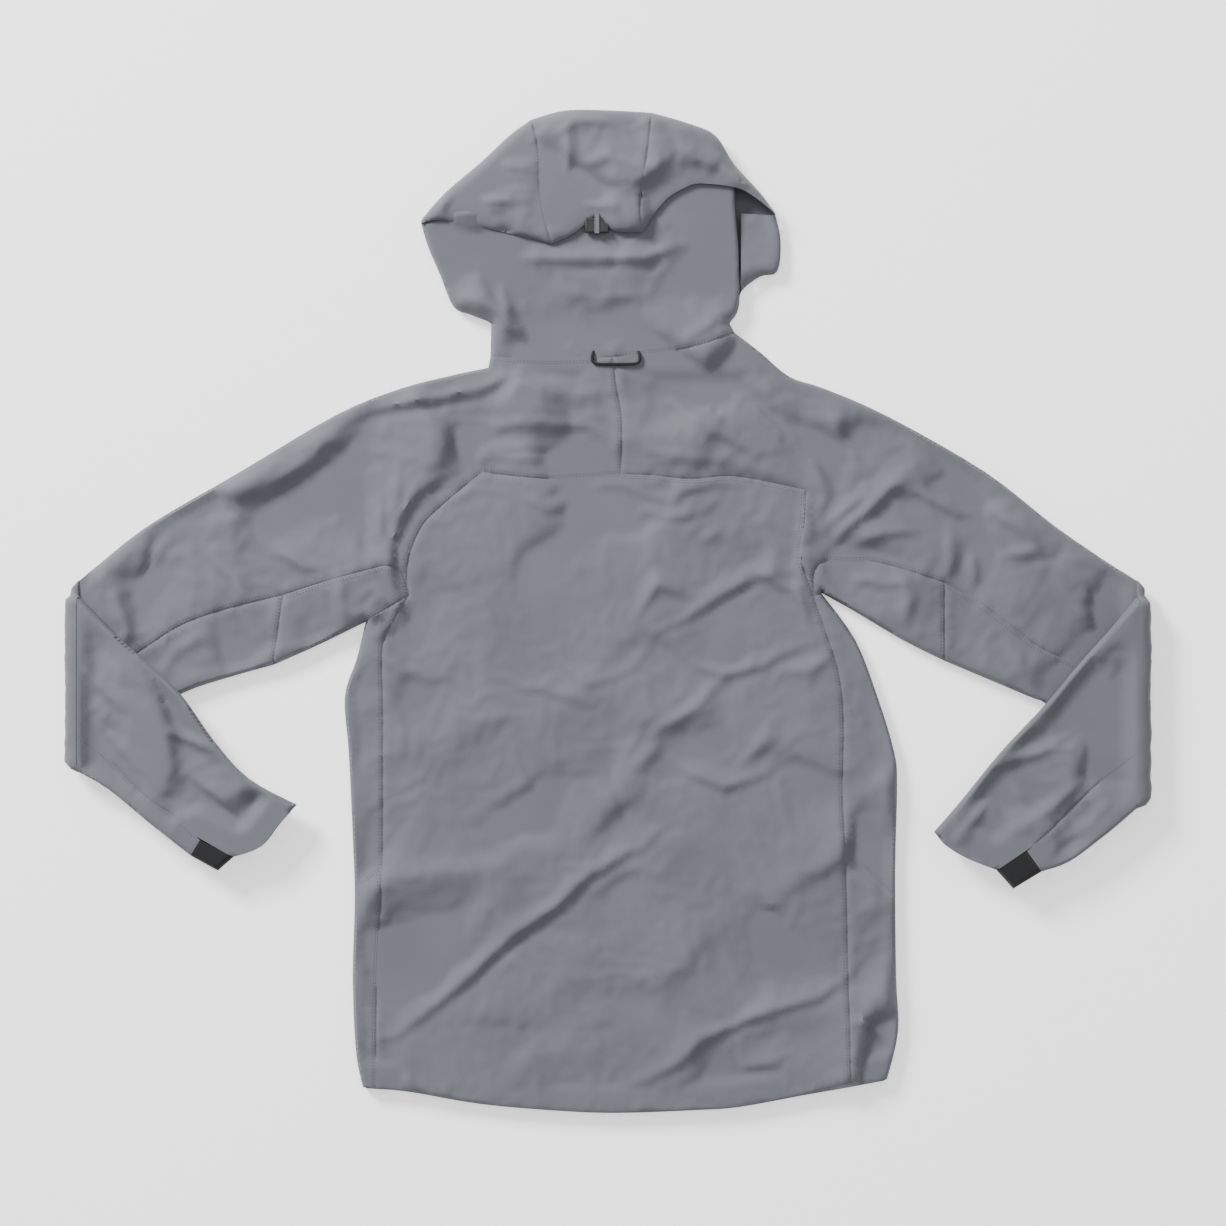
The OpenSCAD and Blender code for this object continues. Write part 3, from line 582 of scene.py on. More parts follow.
def fold_height(points, folds, narrow=1.0, crisp=2.0):
    """Height of the folds at each point; crisp is 2 for round crests and less for sharp ones."""
    total = np.zeros(len(points))
    for height, soft, steep, route in folds:
        line = np.array(route) * MM
        steps = np.linalg.norm(np.diff(line, axis=0), axis=1)
        travelled = np.concatenate(([0], np.cumsum(steps)))
        best = np.full(len(points), 1.0)
        side = np.zeros(len(points))
        share = np.zeros(len(points))
        for k, (a, b) in enumerate(zip(line[:-1], line[1:])):
            along = b - a
            t = np.clip(((points - a) @ along) / (along @ along), 0, 1)
            off = points - (a + t[:, None] * along)
            gap = np.linalg.norm(off, axis=1)
            nearer = gap < best
            best = np.where(nearer, gap, best)
            side = np.where(nearer, along[0] * off[:, 1] - along[1] * off[:, 0], side)
            share = np.where(nearer, (travelled[k] + t * steps[k]) / travelled[-1], share)
        width = np.where(side > 0, soft, steep) * MM * narrow
        taper = np.sin(np.pi * np.clip(0.06 + 0.88 * share, 0, 1)) ** 0.8
        total += height * MM * np.exp(-((best / width) ** crisp)) * taper
    return total


def rumple(points, size, height, seed):
    """Soft unevenness of cloth that lies loose."""
    shift = Vector((seed * 7.3, seed * 3.1, seed * 1.7))
    values = [noise.fractal(Vector((x / size, y / size, 0)) + shift, 0.9, 2.1, 3) for x, y in points]
    return height * np.array(values)


def creep(points, size, height, seed):
    """Thin ridges that wander, as on cloth that was creased and smoothed out."""
    shift = Vector((seed * 2.9, seed * 5.7, seed * 4.3))
    values = []
    for x, y in points:
        place = Vector((x / size, y / size, 0)) + shift
        bend = noise.noise_vector(place * 0.55) * 0.9
        values.append(1 - abs(noise.noise(place + bend)) * 2.6)
    return height * np.clip(values, 0, 1) ** 3


def facets(points, size, tilt, seed):
    """Flat facets that meet at soft ridges, as where cloth was crushed and spread out again."""
    rng = np.random.default_rng(seed)
    lowest, highest = points.min(0) - size, points.max(0) + size
    count = int(np.prod((highest - lowest) / size)) + 4
    centres = rng.uniform(lowest, highest, (count, 2))
    slopes = rng.normal(0, tilt, (count, 2))
    tree = point_tree(centres)
    result = np.zeros(len(points))
    for k, (x, y) in enumerate(points):
        near = tree.find_n((x, y, 0), 4)
        nearest = near[0][2]
        total = 0.0
        for _, index, gap in near:
            weight = math.exp(-(gap - nearest) / (size * 0.09))
            slope = slopes[index]
            centre = centres[index]
            result[k] += weight * (slope[0] * (x - centre[0]) + slope[1] * (y - centre[1]))
            total += weight
        result[k] /= total
    return result


def fade(distance, start, end):
    t = np.clip((distance - start) / (end - start), 0, 1)
    return t * t * (3 - 2 * t)


def roll(distance, radius):
    """How far the rolled edge has risen, from 0 at the edge to 1 past the radius."""
    t = np.clip(distance / radius, 0, 1)
    return np.sqrt(np.clip(1 - (1 - t) ** 2, 0, 1))


# ---------------------------------------------------------------- cloth simulation
def link(name, data):
    """A new object for a mesh or curve, in the scene."""
    thing = bpy.data.objects.new(name, data)
    bpy.context.scene.collection.objects.link(thing)
    return thing


CLOTH_SETTINGS = {
    "quality": 6,
    "mass": 0.12,
    "tension_stiffness": 25,
    "compression_stiffness": 25,
    "shear_stiffness": 8,
    "bending_stiffness": 0.5,
    "air_damping": 4,
}


def relax(points, triangles, heights, held, rest):
    """Lets a sheet, held at some points, settle on a table at height rest, and returns where it lies."""
    scene = bpy.context.scene
    mesh = bpy.data.meshes.new("drape")
    mesh.from_pydata(np.column_stack((points, heights)).tolist(), [], triangles.tolist())
    sheet = link("drape", mesh)
    group = sheet.vertex_groups.new(name="held")
    group.add([int(k) for k in np.nonzero(held)[0]], 1.0, "REPLACE")
    modifier = sheet.modifiers.new("Cloth", "CLOTH")
    settings = modifier.settings
    for name, value in CLOTH_SETTINGS.items():
        setattr(settings, name, value)
    settings.vertex_group_mass = group.name
    settings.shrink_min = -cloth().slack
    modifier.collision_settings.distance_min = 1 * MM
    modifier.collision_settings.collision_quality = 2
    lowest, highest = points.min(0) - 0.02, points.max(0) + 0.02
    table_mesh = bpy.data.meshes.new("table")
    (left, near), (right, far) = lowest, highest
    corners = [(left, near, rest), (right, near, rest), (right, far, rest), (left, far, rest)]
    table_mesh.from_pydata(corners, [], [(0, 1, 2, 3)])
    table = link("table", table_mesh)
    table.modifiers.new("Collision", "COLLISION")
    table.collision.thickness_outer = 1 * MM
    scene.frame_start = 1
    scene.frame_end = cloth().drape_frames
    modifier.point_cache.frame_start = 1
    modifier.point_cache.frame_end = cloth().drape_frames
    for number in range(1, cloth().drape_frames + 1):
        scene.frame_set(number)
    settled = sheet.evaluated_get(bpy.context.evaluated_depsgraph_get()).data
    result = np.zeros(len(points) * 3)
    settled.vertices.foreach_get("co", result)
    for thing in (sheet, table):
        bpy.data.objects.remove(thing)
    scene.frame_set(1)
    return result.reshape(-1, 3)


class Drape:
    """How far each place of a layer is moved by its folds."""

    def __init__(self, outlines, height, folds, fine, seed):
        spacing = cloth().drape_spacing
        layer = Layer(outlines, spacing, fine.partner, fine.open_ends, rows=False)
        edge = layer.distance({"fold", "axis", "hem", "free"})
        quiet = fade(edge, 0, 14 * MM)
        start = height + fold_height(layer.points, folds) * quiet
        start += rumple(layer.points, 0.1, 3.2 * MM, seed) * quiet
        flat = np.column_stack((layer.points, np.full(len(layer.points), height)))
        lies = relax(layer.points, layer.triangles, start, edge < spacing * 0.4, height - 3.5 * MM)
        self.shift = lies - flat
        self.shift[:, 2] = np.clip(self.shift[:, 2], -4 * MM, 9.5 * MM)
        self.shift[:, :2] = np.clip(self.shift[:, :2], -3 * MM, 3 * MM)
        self.tree = point_tree(layer.points)
        self.reach = spacing * 0.6

    def at(self, points):
        result = np.zeros((len(points), 3))
        for k, (x, y) in enumerate(points):
            near = self.tree.find_n((x, y, 0), 7)
            weights = [math.exp(-((gap / self.reach) ** 2)) + 1e-9 for _, _, gap in near]
            total = sum(weights)
            for weight, (_, index, _) in zip(weights, near):
                result[k] += self.shift[index] * (weight / total)
        return result


# ---------------------------------------------------------------- materials
def set_sockets(node, **values):
    """Sets a node's inputs by their labels, with _ for a space."""
    for label, value in values.items():
        node.inputs[label.replace("_", " ")].default_value = value


def new_material(name):
    """A material with its tree and its shader."""
    material = bpy.data.materials.new(name)
    material.use_nodes = True
    return material, material.node_tree, material.node_tree.nodes["Principled BSDF"]


def node_group(name, inputs, outputs):
    group = bpy.data.node_groups.new(name, "ShaderNodeTree")
    for label, kind, value in inputs:
        socket = group.interface.new_socket(label, in_out="INPUT", socket_type=kind)
        if value is not None:
            socket.default_value = value
    for label, kind in outputs:
        group.interface.new_socket(label, in_out="OUTPUT", socket_type=kind)
    group.nodes.new("NodeGroupInput").location = (-900, 0)
    group.nodes.new("NodeGroupOutput").location = (600, 0)
    return group


def add_node(tree, kind, place=(0, 0), **values):
    node = tree.nodes.new(kind)
    node.location = place
    for name, value in values.items():
        setattr(node, name, value)
    return node


def math_node(tree, operation, a, b=None, place=(0, 0), clamp=False):
    node = add_node(tree, "ShaderNodeMath", place, operation=operation, use_clamp=clamp)
    for socket, value in zip(node.inputs, (a, b)):
        if value is None:
            continue
        if isinstance(value, (int, float)):
            socket.default_value = value
        else:
            tree.links.new(value, socket)
    return node.outputs[0]


def weave_group():
    """Plain weave: threads that pass over and under each other."""
    if "Plain Weave" in bpy.data.node_groups:
        return bpy.data.node_groups["Plain Weave"]
    group = node_group(
        "Plain Weave",
        (("Place", "NodeSocketVector", None), ("Threads", "NodeSocketFloat", 2200.0)),
        (("Height", "NodeSocketFloat"),),
    )
    source, target = group.nodes["Group Input"], group.nodes["Group Output"]
    split = add_node(group, "ShaderNodeSeparateXYZ", (-700, 0))
    group.links.new(source.outputs["Place"], split.inputs[0])
    waves = []
    for k in (0, 1):
        turned = math_node(group, "MULTIPLY", split.outputs[k], source.outputs["Threads"], (-500, -150 * k))
        waves.append(math_node(group, "SINE", turned, None, (-300, -150 * k)))
    product = math_node(group, "MULTIPLY", waves[0], waves[1], (-100, 0))
    height = math_node(group, "MULTIPLY_ADD", product, 0.5, (100, 0))
    height.node.inputs[2].default_value = 0.5
    group.links.new(height, target.inputs["Height"])
    return group


def mottle_group():
    """Uneven dye, rubbed places and faint spots."""
    if "Mottle" in bpy.data.node_groups:
        return bpy.data.node_groups["Mottle"]
    group = node_group(
        "Mottle",
        (
            ("Place", "NodeSocketVector", None),
            ("Cloud Scale", "NodeSocketFloat", 14.0),
            ("Spot Scale", "NodeSocketFloat", 60.0),
        ),
        (("Cloud", "NodeSocketFloat"), ("Spot", "NodeSocketFloat"), ("Grain", "NodeSocketFloat")),
    )
    source, target = group.nodes["Group Input"], group.nodes["Group Output"]
    for label, scale, detail, spread in (
        ("Cloud", "Cloud Scale", 3.0, (0.35, 0.7)),
        ("Spot", "Spot Scale", 2.0, (0.62, 0.74)),
        ("Grain", None, 4.0, (0.3, 0.7)),
    ):
        cloud = add_node(group, "ShaderNodeTexNoise", (-600, 0))
        cloud.inputs["Detail"].default_value = detail
        group.links.new(source.outputs["Place"], cloud.inputs["Vector"])
        if scale:
            group.links.new(source.outputs[scale], cloud.inputs["Scale"])
        else:
            cloud.inputs["Scale"].default_value = 900.0
        step = add_node(group, "ShaderNodeMapRange", (-300, 0), interpolation_type="SMOOTHSTEP")
        step.inputs["From Min"].default_value, step.inputs["From Max"].default_value = spread
        group.links.new(cloud.outputs["Fac"], step.inputs["Value"])
        group.links.new(step.outputs[0], target.inputs[label])
    return group


def mix_colour(tree, factor, first, second, blend="MIX", place=(0, 0)):
    node = add_node(tree, "ShaderNodeMix", place, data_type="RGBA", blend_type=blend)
    if isinstance(factor, float):
        node.inputs[0].default_value = factor
    else:
        tree.links.new(factor, node.inputs[0])
    for socket, value in ((node.inputs[6], first), (node.inputs[7], second)):
        if isinstance(value, tuple):
            socket.default_value = (*value, 1)
        else:
            tree.links.new(value, socket)
    return node.outputs[2]


def scaled(colour, share):
    return tuple(min(1.0, c * share) for c in colour)


def cloth_material(name, colour, threads, weave_depth, roughness, warm):
    """Woven cloth with uneven dye and a few faint spots."""
    material, tree, shader = new_material(name)
    colour = tuple(colour)
    place = add_node(tree, "ShaderNodeTexCoord", (-1100, 0)).outputs["Object"]
    mottle = add_node(tree, "ShaderNodeGroup", (-800, 200), node_tree=mottle_group())
    weave = add_node(tree, "ShaderNodeGroup", (-800, -200), node_tree=weave_group())
    weave.inputs["Threads"].default_value = threads
    tree.links.new(place, mottle.inputs["Place"])
    tree.links.new(place, weave.inputs["Place"])
    deep, pale = scaled(colour, 0.93), scaled(colour, 1.07)
    cloudy = mix_colour(tree, mottle.outputs["Cloud"], deep, pale, place=(-500, 300))
    warm_tone = (colour[0] * 1.05, colour[1] * 0.97, colour[2] * 0.86)
    share = math_node(tree, "MULTIPLY", mottle.outputs["Spot"], warm, (-500, 100))
    spotted = mix_colour(tree, share, cloudy, warm_tone, place=(-300, 250))
    grain = math_node(tree, "MULTIPLY_ADD", mottle.outputs["Grain"], 0.5, (-500, -50))
    grain.node.inputs[2].default_value = 0.25
    grainy = mix_colour(tree, grain, scaled(colour, 0.9), scaled(colour, 1.1), place=(-300, 0))
    woven = mix_colour(tree, 0.35, spotted, grainy, place=(-100, 200))
    tree.links.new(woven, shader.inputs["Base Color"])
    bump = add_node(tree, "ShaderNodeBump", (-300, -300))
    set_sockets(bump, Strength=weave_depth, Distance=0.0002)
    tree.links.new(weave.outputs["Height"], bump.inputs["Height"])
    tree.links.new(bump.outputs[0], shader.inputs["Normal"])
    set_sockets(shader, Roughness=roughness, Specular_IOR_Level=0.3, Sheen_Weight=0.1, Sheen_Roughness=0.5)
    return material


def plastic_material(name, colour, roughness):
    """Moulded plastic with a fine spark-eroded grain and rubbed patches."""
    material, tree, shader = new_material(name)
    colour = tuple(colour)
    place = add_node(tree, "ShaderNodeTexCoord", (-900, 0)).outputs["Object"]
    mottle = add_node(tree, "ShaderNodeGroup", (-700, 0), node_tree=mottle_group())
    set_sockets(mottle, Cloud_Scale=90.0, Spot_Scale=400.0)
    tree.links.new(place, mottle.inputs["Place"])
    deep, pale = scaled(colour, 0.85), scaled(colour, 1.3)
    worn = mix_colour(tree, mottle.outputs["Cloud"], deep, pale, place=(-400, 200))
    tree.links.new(worn, shader.inputs["Base Color"])
    rough = add_node(tree, "ShaderNodeMapRange", (-400, 0))
    set_sockets(rough, To_Min=roughness - 0.06, To_Max=roughness + 0.08)
    tree.links.new(mottle.outputs["Cloud"], rough.inputs["Value"])
    tree.links.new(rough.outputs[0], shader.inputs["Roughness"])
    bump = add_node(tree, "ShaderNodeBump", (-400, -200))
    set_sockets(bump, Strength=0.25, Distance=0.0001)
    tree.links.new(mottle.outputs["Grain"], bump.inputs["Height"])
    tree.links.new(bump.outputs[0], shader.inputs["Normal"])
    return material


MATERIALS = {}


def material(name):
    if not MATERIALS:
        c = colours()
        for key, label, colour, threads, depth, roughness, warm in (
            ("shell", "Outer Cloth", c.shell, 5200.0, 0.35, 0.82, 0.25),
            ("lining", "Lining Cloth", c.lining, 3000.0, 0.5, 0.9, 0.25),
            ("elastic", "Black Elastic", c.black, 2600.0, 0.8, 0.85, 0.0),
            ("tape", "Black Tape", c.black, 2600.0, 0.8, 0.85, 0.0),
            ("cord", "Black Cord", scaled(c.black, 0.8), 3400.0, 0.9, 0.8, 0.0),
            ("thread", "Sewing Thread", scaled(c.shell, 0.5), 8000.0, 0.3, 0.7, 0.25),
        ):
            MATERIALS[key] = cloth_material(label, colour, threads, depth, roughness, warm)
        MATERIALS["plastic"] = plastic_material("Black Plastic", c.black, 0.45)
    return MATERIALS[name]


# ---------------------------------------------------------------- making pieces
def new_piece(name, coords, faces, finish):
    mesh = bpy.data.meshes.new(name)
    mesh.from_pydata(np.asarray(coords).tolist(), [], np.asarray(faces).tolist())
    mesh.materials.append(material(finish))
    piece = link(name, mesh)
    return piece


def make_active(piece):
    bpy.ops.object.select_all(action="DESELECT")
    piece.select_set(True)
    bpy.context.view_layer.objects.active = piece


def thicken(piece, thickness):
    make_active(piece)
    modifier = piece.modifiers.new("Thickness", "SOLIDIFY")
    modifier.thickness = thickness
    modifier.offset = -1
    bpy.ops.object.modifier_apply(modifier=modifier.name)
    bpy.ops.object.shade_smooth_by_angle(angle=CLOTH_SHARP)


def flat_area(points, triangles):
    a, b, c = (points[triangles[:, k]] for k in range(3))
    return 0.5 * float(np.abs(np.cross(b - a, c - a)).sum())


def halved(quads):
    """The two triangles of each quad."""
    return np.array([(a, b, c) for a, b, c, _ in quads] + [(a, c, d) for a, _, c, d in quads])


def smallest_rectangle(plan):
    """Width and length of the smallest rectangle that a flat cut fits in, however it is turned."""
    sizes = []
    for angle in np.radians(np.arange(0, 90, 0.5)):
        turn = np.array(((math.cos(angle), -math.sin(angle)), (math.sin(angle), math.cos(angle))))
        turned = plan[:, :2] @ turn
        sizes.append(turned.max(0) - turned.min(0))
    return sorted(float(side) for side in min(sizes, key=np.prod))


def declare_sheet(plan, triangles):
    """Works out the smallest rectangle and the area of a panel's flat cut, from its plan, and keeps neither.
    """
    size = smallest_rectangle(plan)
    float(flat_area(plan, triangles))


# Short slanting seams low on the sides, each from one end to the other in mm
SIDE_SEAMS = (
    ((-225, -259), (-246, -276)),
    ((257, -251), (288, -281)),
)


def straight(ends):
    """Points along a straight line between two ends given in mm."""
    return np.linspace(*np.array(ends, float) * MM, 12)


def sew_lines(layer, offsets, more):
    """Rows of stitches beside the seams of a layer and along more lines, each a small lens of thread."""
    surface = BVHTree.FromPolygons(layer.place.tolist(), layer.triangles.tolist())
    coords, faces = [], []
    for line in [*chains(layer, "seam"), *more]:
        for offset in offsets:
            for centre, along in walk(line, offset, STITCH_PITCH):
                hit, normal, _, _ = surface.ray_cast(Vector((centre[0], centre[1], 0.2)), Vector((0, 0, -1)))
                if hit is None or normal.z < 0.3:
                    continue
                stitch(coords, faces, hit, Vector((along[0], along[1], 0)), normal, STITCH_LIFT)
    return coords, faces


def stitch(coords, faces, centre, along, normal, lift):
    along = (along - normal * along.dot(normal)).normalized()
    across = normal.cross(along)
    middle = centre + normal * lift * 0.35
    first = len(coords)
    coords.extend(
        tuple(p)
        for p in (
            middle - along * 1.2 * MM - normal * lift * 0.6,
            middle + across * 0.3 * MM,
            middle + normal * lift,
            middle - across * 0.3 * MM,
            middle - normal * lift,
            middle + along * 1.2 * MM - normal * lift * 0.6,
        )
    )
    ring = (1, 2, 3, 4)
    for a, b in zip(ring, ring[1:] + ring[:1]):
        faces.append((first, first + b, first + a))
        faces.append((first + 5, first + a, first + b))


def chains(layer, wanted):
    """The edges of one kind, joined into lines of points."""
    links = {}
    for (a, b), kind in layer.kind.items():
        pair = frozenset(layer.names[k] for k in layer.boundary[(a, b)])
        if kind == wanted:
            links.setdefault(a, []).append((b, pair))
            links.setdefault(b, []).append((a, pair))
    done = set()
    lines = []
    ends = [k for k, v in links.items() if len(v) != 2 or v[0][1] != v[1][1]]
    for start in ends + list(links):
        for following, pair in links[start]:
            if (start, following) in done:
                continue
            line = [start, following]
            done.update(((start, following), (following, start)))
            while True:
                here = line[-1]
                if here in ends:
                    break
                step = [k for k, p in links[here] if p == pair and (here, k) not in done]
                if not step:
                    break
                line.append(step[0])
                done.update(((here, step[0]), (step[0], here)))
            if len(line) > 2:
                lines.append(layer.rim[line])
    return lines


def walk(line, offset, pitch):
    """Evenly spaced places along a line, moved sideways by offset."""
    if line[0][1] > line[-1][1]:
        line = line[::-1]
    tangents = np.gradient(line, axis=0)
    for _ in range(4):
        tangents[1:-1] = (tangents[:-2] + 2 * tangents[1:-1] + tangents[2:]) / 4
    tangents /= np.linalg.norm(tangents, axis=1)[:, None]
    moved = line + offset * np.column_stack((-tangents[:, 1], tangents[:, 0]))
    steps = np.linalg.norm(np.diff(moved, axis=0), axis=1)
    travelled = np.concatenate(([0], np.cumsum(steps)))
    for place in np.arange(pitch, travelled[-1] - pitch / 2, pitch):
        x = np.interp(place, travelled, moved[:, 0])
        y = np.interp(place, travelled, moved[:, 1])
        k = min(np.searchsorted(travelled, place), len(line) - 1)
        yield (x, y), tangents[k]


# ---------------------------------------------------------------- the layers of the jacket
LAYERS = {}


def outlines_of(names, side, height=None):
    result = {}
    for name in names:
        loops = face_loops(name, side, height)
        if not loops:
            loops = face_loops(name, side)[:1]
        result[name] = [close_neck_gap(loop) for loop in loops]
    return result


def without_holes(outlines):
    return {name: loops[:1] for name, loops in outlines.items()}


def near_elbow(points, reach):
    """Share from 0 away from the elbow's axis to 1 on it."""
    return fade(np.abs(points[:, 0]), ELBOW.x - reach, ELBOW.x)


def meet_axis(layer, height):
    """Brings a layer's height to that of the elbow's axis where it ends there."""
    return height + (ELBOW.z - height) * (1 - fade(layer.distance({"axis"}), 0, AXIS_REACH))


def middle_height(points, elbow_from):
    """Height of the folded edge between an upper and a lower layer of the body and hood."""
    height = BODY_MID + (HOOD_MID - BODY_MID) * fade(points[:, 1], NECK.y - 0.01, NECK.y + 0.07)
    return height + (ELBOW.z - height) * near_elbow(points, elbow_from)


def forearm_middle(points, elbow_from):
    return FORE_MID + (ELBOW.z - FORE_MID) * near_elbow(points, elbow_from)


def neck_slope(points):
    """The neck panel of the hood climbs from the collar towards the crown."""
    top = high("hood_neck_panel")
    rise = (top.z - TOP) / (top.y - NECK.y)
    return TOP + rise * np.clip(points[:, 1] - NECK.y, 0, None)


def snap_to_axis(points):
    """The cloth runs on to the elbow's axis, where its two layers meet."""
    beyond = np.abs(points[:, 0]) > ELBOW.x - 0.7 * MM
    points[beyond, 0] = np.sign(points[beyond, 0]) * ELBOW.x
    return points


def liveliness(points):
    """The sleeves, yoke and hood are more crumpled than the back, which lies smooth."""
    sleeves = fade(np.abs(points[:, 0]), 0.2, 0.26)
    above = fade(points[:, 1], 0.12, 0.17)
    return 1 + 0.9 * np.maximum(sleeves, above)


def detail(layer, seed):
    """Small unevenness of the cloth, puckers along its seams, and the groove of each seam."""
    points = layer.points
    seam = layer.distance({"seam"})
    height = rumple(points, 0.021, 0.22 * MM, seed) + rumple(points, 0.007, 0.1 * MM, seed + 1)
    height += creep(points, 0.05, 0.45 * MM, seed + 2)
    height += facets(points, 0.08, 0.066, seed + 3) + facets(points, 0.032, 0.014, seed + 4)
    height *= liveliness(points)
    height += rumple(points, 0.0065, 0.5 * MM, seed + 5) * np.exp(-((seam / 0.009) ** 2))
    height -= 1.1 * MM * np.exp(-((seam / 0.0012) ** 2))
    height += 0.45 * MM * np.exp(-(((seam - 0.0038) / 0.0018) ** 2))
    return height


def lay_upper(layer, drape, folds, top, middle, radius, seed):
    """Places an upper layer: draped, with its edges rolled down to the middle height."""
    points = layer.points
    to_fold = layer.distance({"fold"})
    to_hem = layer.distance({"hem"})
    to_free = layer.distance({"free"})
    quiet = fade(np.minimum(to_fold, layer.distance({"axis"})), 0, EDGE_REACH) * fade(to_hem, 0, 0.006)
    shift = drape.at(points)
    sharp = fold_height(points, folds, 0.6, 1.3)
    height = shift[:, 2] + 0.45 * liveliness(points) * sharp + detail(layer, seed)
    height += fold_height(points, STEP_FOLDS, 1.0, 1.3)
    backed = 1 - fade(np.minimum(to_hem, to_free), *BACKING)
    backed = np.maximum(backed, fade(points[:, 1], NECK.y - 0.06, NECK.y - 0.045))
    height = np.maximum(height, -4 * MM + 3.7 * MM * backed)
    height += np.abs(rumple(points, 0.011, 2.2 * MM, seed + 7)) * np.exp(-((to_hem / 0.014) ** 2))
    rolled = middle + (top + np.minimum(height, 11 * MM) * quiet - middle) * roll(to_fold, radius)
    rolled -= 1.2 * MM * (1 - roll(to_hem, 0.003))
    turned = (1 - roll(to_free, 0.004)) * (points[:, 1] > NECK.y + 0.02)
    return rolled - 2.6 * MM * turned, shift[:, :2] * quiet[:, None]


def lay_lower(layer, bottom, middle, radius, seed):
    """Places a lower layer, nearly flat, with its edges rolled up to the middle height."""
    to_fold = layer.distance({"fold"})
    quiet = fade(np.minimum(to_fold, layer.distance({"axis", "hem", "free"})), 0, EDGE_REACH)
    points = layer.points
    height = np.clip(rumple(points, 0.05, 1.6 * MM, seed) + detail(layer, seed) + 0.6 * MM, 0, 3 * MM)
    return middle + (bottom + height * quiet - middle) * roll(to_fold, radius)


def make_body_layers():
    """Meshes the cloth of the body and hood, and works out where each point lies."""
    step = cloth().spacing
    top_height = high("back_panel").z
    top_lines = without_holes(outlines_of(BODY_TOP, 1, top_height))
    neck_lines = face_loops("hood_neck_panel", 1)[:1]
    top_lines["hood_neck_panel"] = [close_neck_gap(loop) for loop in neck_lines]
    under_lines = outlines_of(BODY_UNDER, -1, 0.0)
    crown_lines = without_holes(outlines_of(CROWN_TOP, 1, CROWN))
    rough_under = Layer(under_lines, ROUGH_SPACING, rows=False)
    rough_top = Layer(top_lines, ROUGH_SPACING, rows=False)
    LAYERS["top"] = top = Layer(top_lines, step, rough_under)
    LAYERS["crown"] = crown = Layer(crown_lines, step * 0.8, rough_under)
    for rough in (rough_top, Layer(crown_lines, ROUGH_SPACING, rows=False)):
        rough_under.fold_with(rough)
    LAYERS["under"] = under = Layer(under_lines, step * 1.5, rough_top)
    under.fold_with(Layer(crown_lines, ROUGH_SPACING, rows=False))

    folds = BACK_FOLDS + YOKE_FOLDS + SLEEVE_FOLDS + NECK_FOLDS
    drape = Drape(top_lines, TOP, folds, top, 1)
    middle = middle_height(top.points, ELBOW_REACH)
    height, slide = lay_upper(top, drape, folds, neck_slope(top.points), middle, EDGE_RADIUS, 10)
    top.place = np.column_stack((snap_to_axis(top.points + slide), meet_axis(top, height)))

    middle = middle_height(under.points, ELBOW_REACH)
    height = lay_lower(under, 0.3 * MM, middle, EDGE_RADIUS, 40)
    under.place = np.column_stack((snap_to_axis(under.points.copy()), height))

    drape = Drape(crown_lines, CROWN, HOOD_FOLDS, crown, 5)
    middle = middle_height(crown.points, ELBOW_REACH)
    height, slide = lay_upper(crown, drape, HOOD_FOLDS, CROWN - 0.5 * MM, middle, CROWN_RADIUS, 20)
    sewn = crown.distance({"free"})
    below = neck_slope(crown.points) + crown_clearance(crown.points)
    height = below + (height - below) * roll(sewn, 0.02)
    crown.place = np.column_stack((crown.points + slide, height))


def crown_clearance(points):
    """How far the crown's lower edge stands off the neck panel: sewn at the sides, loose at the flap."""
    flap = low("hood_crown_panel")
    loose = fade(points[:, 0], flap.x, flap.x + 0.02)
    return 1.2 * MM + 2.4 * MM * loose


def trim_line(node):
    """Points close together round a trim, in plan."""
    points = []
    for loop in face_loops(node, 1):
        for a, b in zip(loop, loop[1:] + loop[:1]):
            steps = max(1, round(math.dist(a, b) / MM))
            run, rise = b[0] - a[0], b[1] - a[1]
            points += [(a[0] + run * k / steps, a[1] + rise * k / steps) for k in range(steps)]
    return points


def make_room(layer, height):
    """Lowers a forearm's top away from its edges, so that its crests clear the table once unfolded."""
    from_ends = fade(layer.distance({"hem", "free"}), *BACKING)
    from_folds = fade(layer.distance({"axis", "fold"}), 0, 0.02)
    lowered = height - FOREARM_SINK * from_ends * from_folds
    from_axis = ELBOW.x - np.abs(layer.points[:, 0])
    room = 2 * ELBOW.z - 0.2 * MM + SHORT_OF_FLAT * from_axis
    start = room - CREST_SQUASH
    above = np.maximum(lowered - start, 0)
    return np.minimum(lowered, start) + CREST_SQUASH * np.tanh(above / CREST_SQUASH)


def make_forearm_layers(side, folds, seed):
    """Meshes one forearm, which lies folded over on the body."""
    step = cloth().spacing * 0.9
    names = [f"{side}_{part}" for part in ("forearm_panel", "forearm_under_panel", "cuff_elastic")]
    upper_lines = without_holes(outlines_of(names, 1, high(names[0]).z))
    inner_lines = without_holes(outlines_of([f"{side}_forearm_inner_panel"], -1))
    cuff = trim_line(f"{side}_cuff_facing")
    rough_inner = Layer(inner_lines, ROUGH_SPACING, rows=False)
    upper = Layer(upper_lines, step, rough_inner, cuff)
    inner = Layer(inner_lines, step, Layer(upper_lines, ROUGH_SPACING, rows=False), cuff)

    drape = Drape(upper_lines, FORE_TOP, folds, upper, seed)
    middle = forearm_middle(upper.points, ELBOW_REACH)
    height, slide = lay_upper(upper, drape, folds, FORE_TOP, middle, EDGE_RADIUS, seed * 10)
    height = make_room(upper, height)
    upper.place = np.column_stack((snap_to_axis(upper.points + slide), height))

    middle = forearm_middle(inner.points, ELBOW_REACH)
    height = lay_lower(inner, FORE_LOW, middle, EDGE_RADIUS, seed * 10 + 5)
    inner.place = np.column_stack((snap_to_axis(inner.points.copy()), meet_axis(inner, height)))
    LAYERS[f"{side}_forearm"] = upper
    LAYERS[f"{side}_inner"] = inner


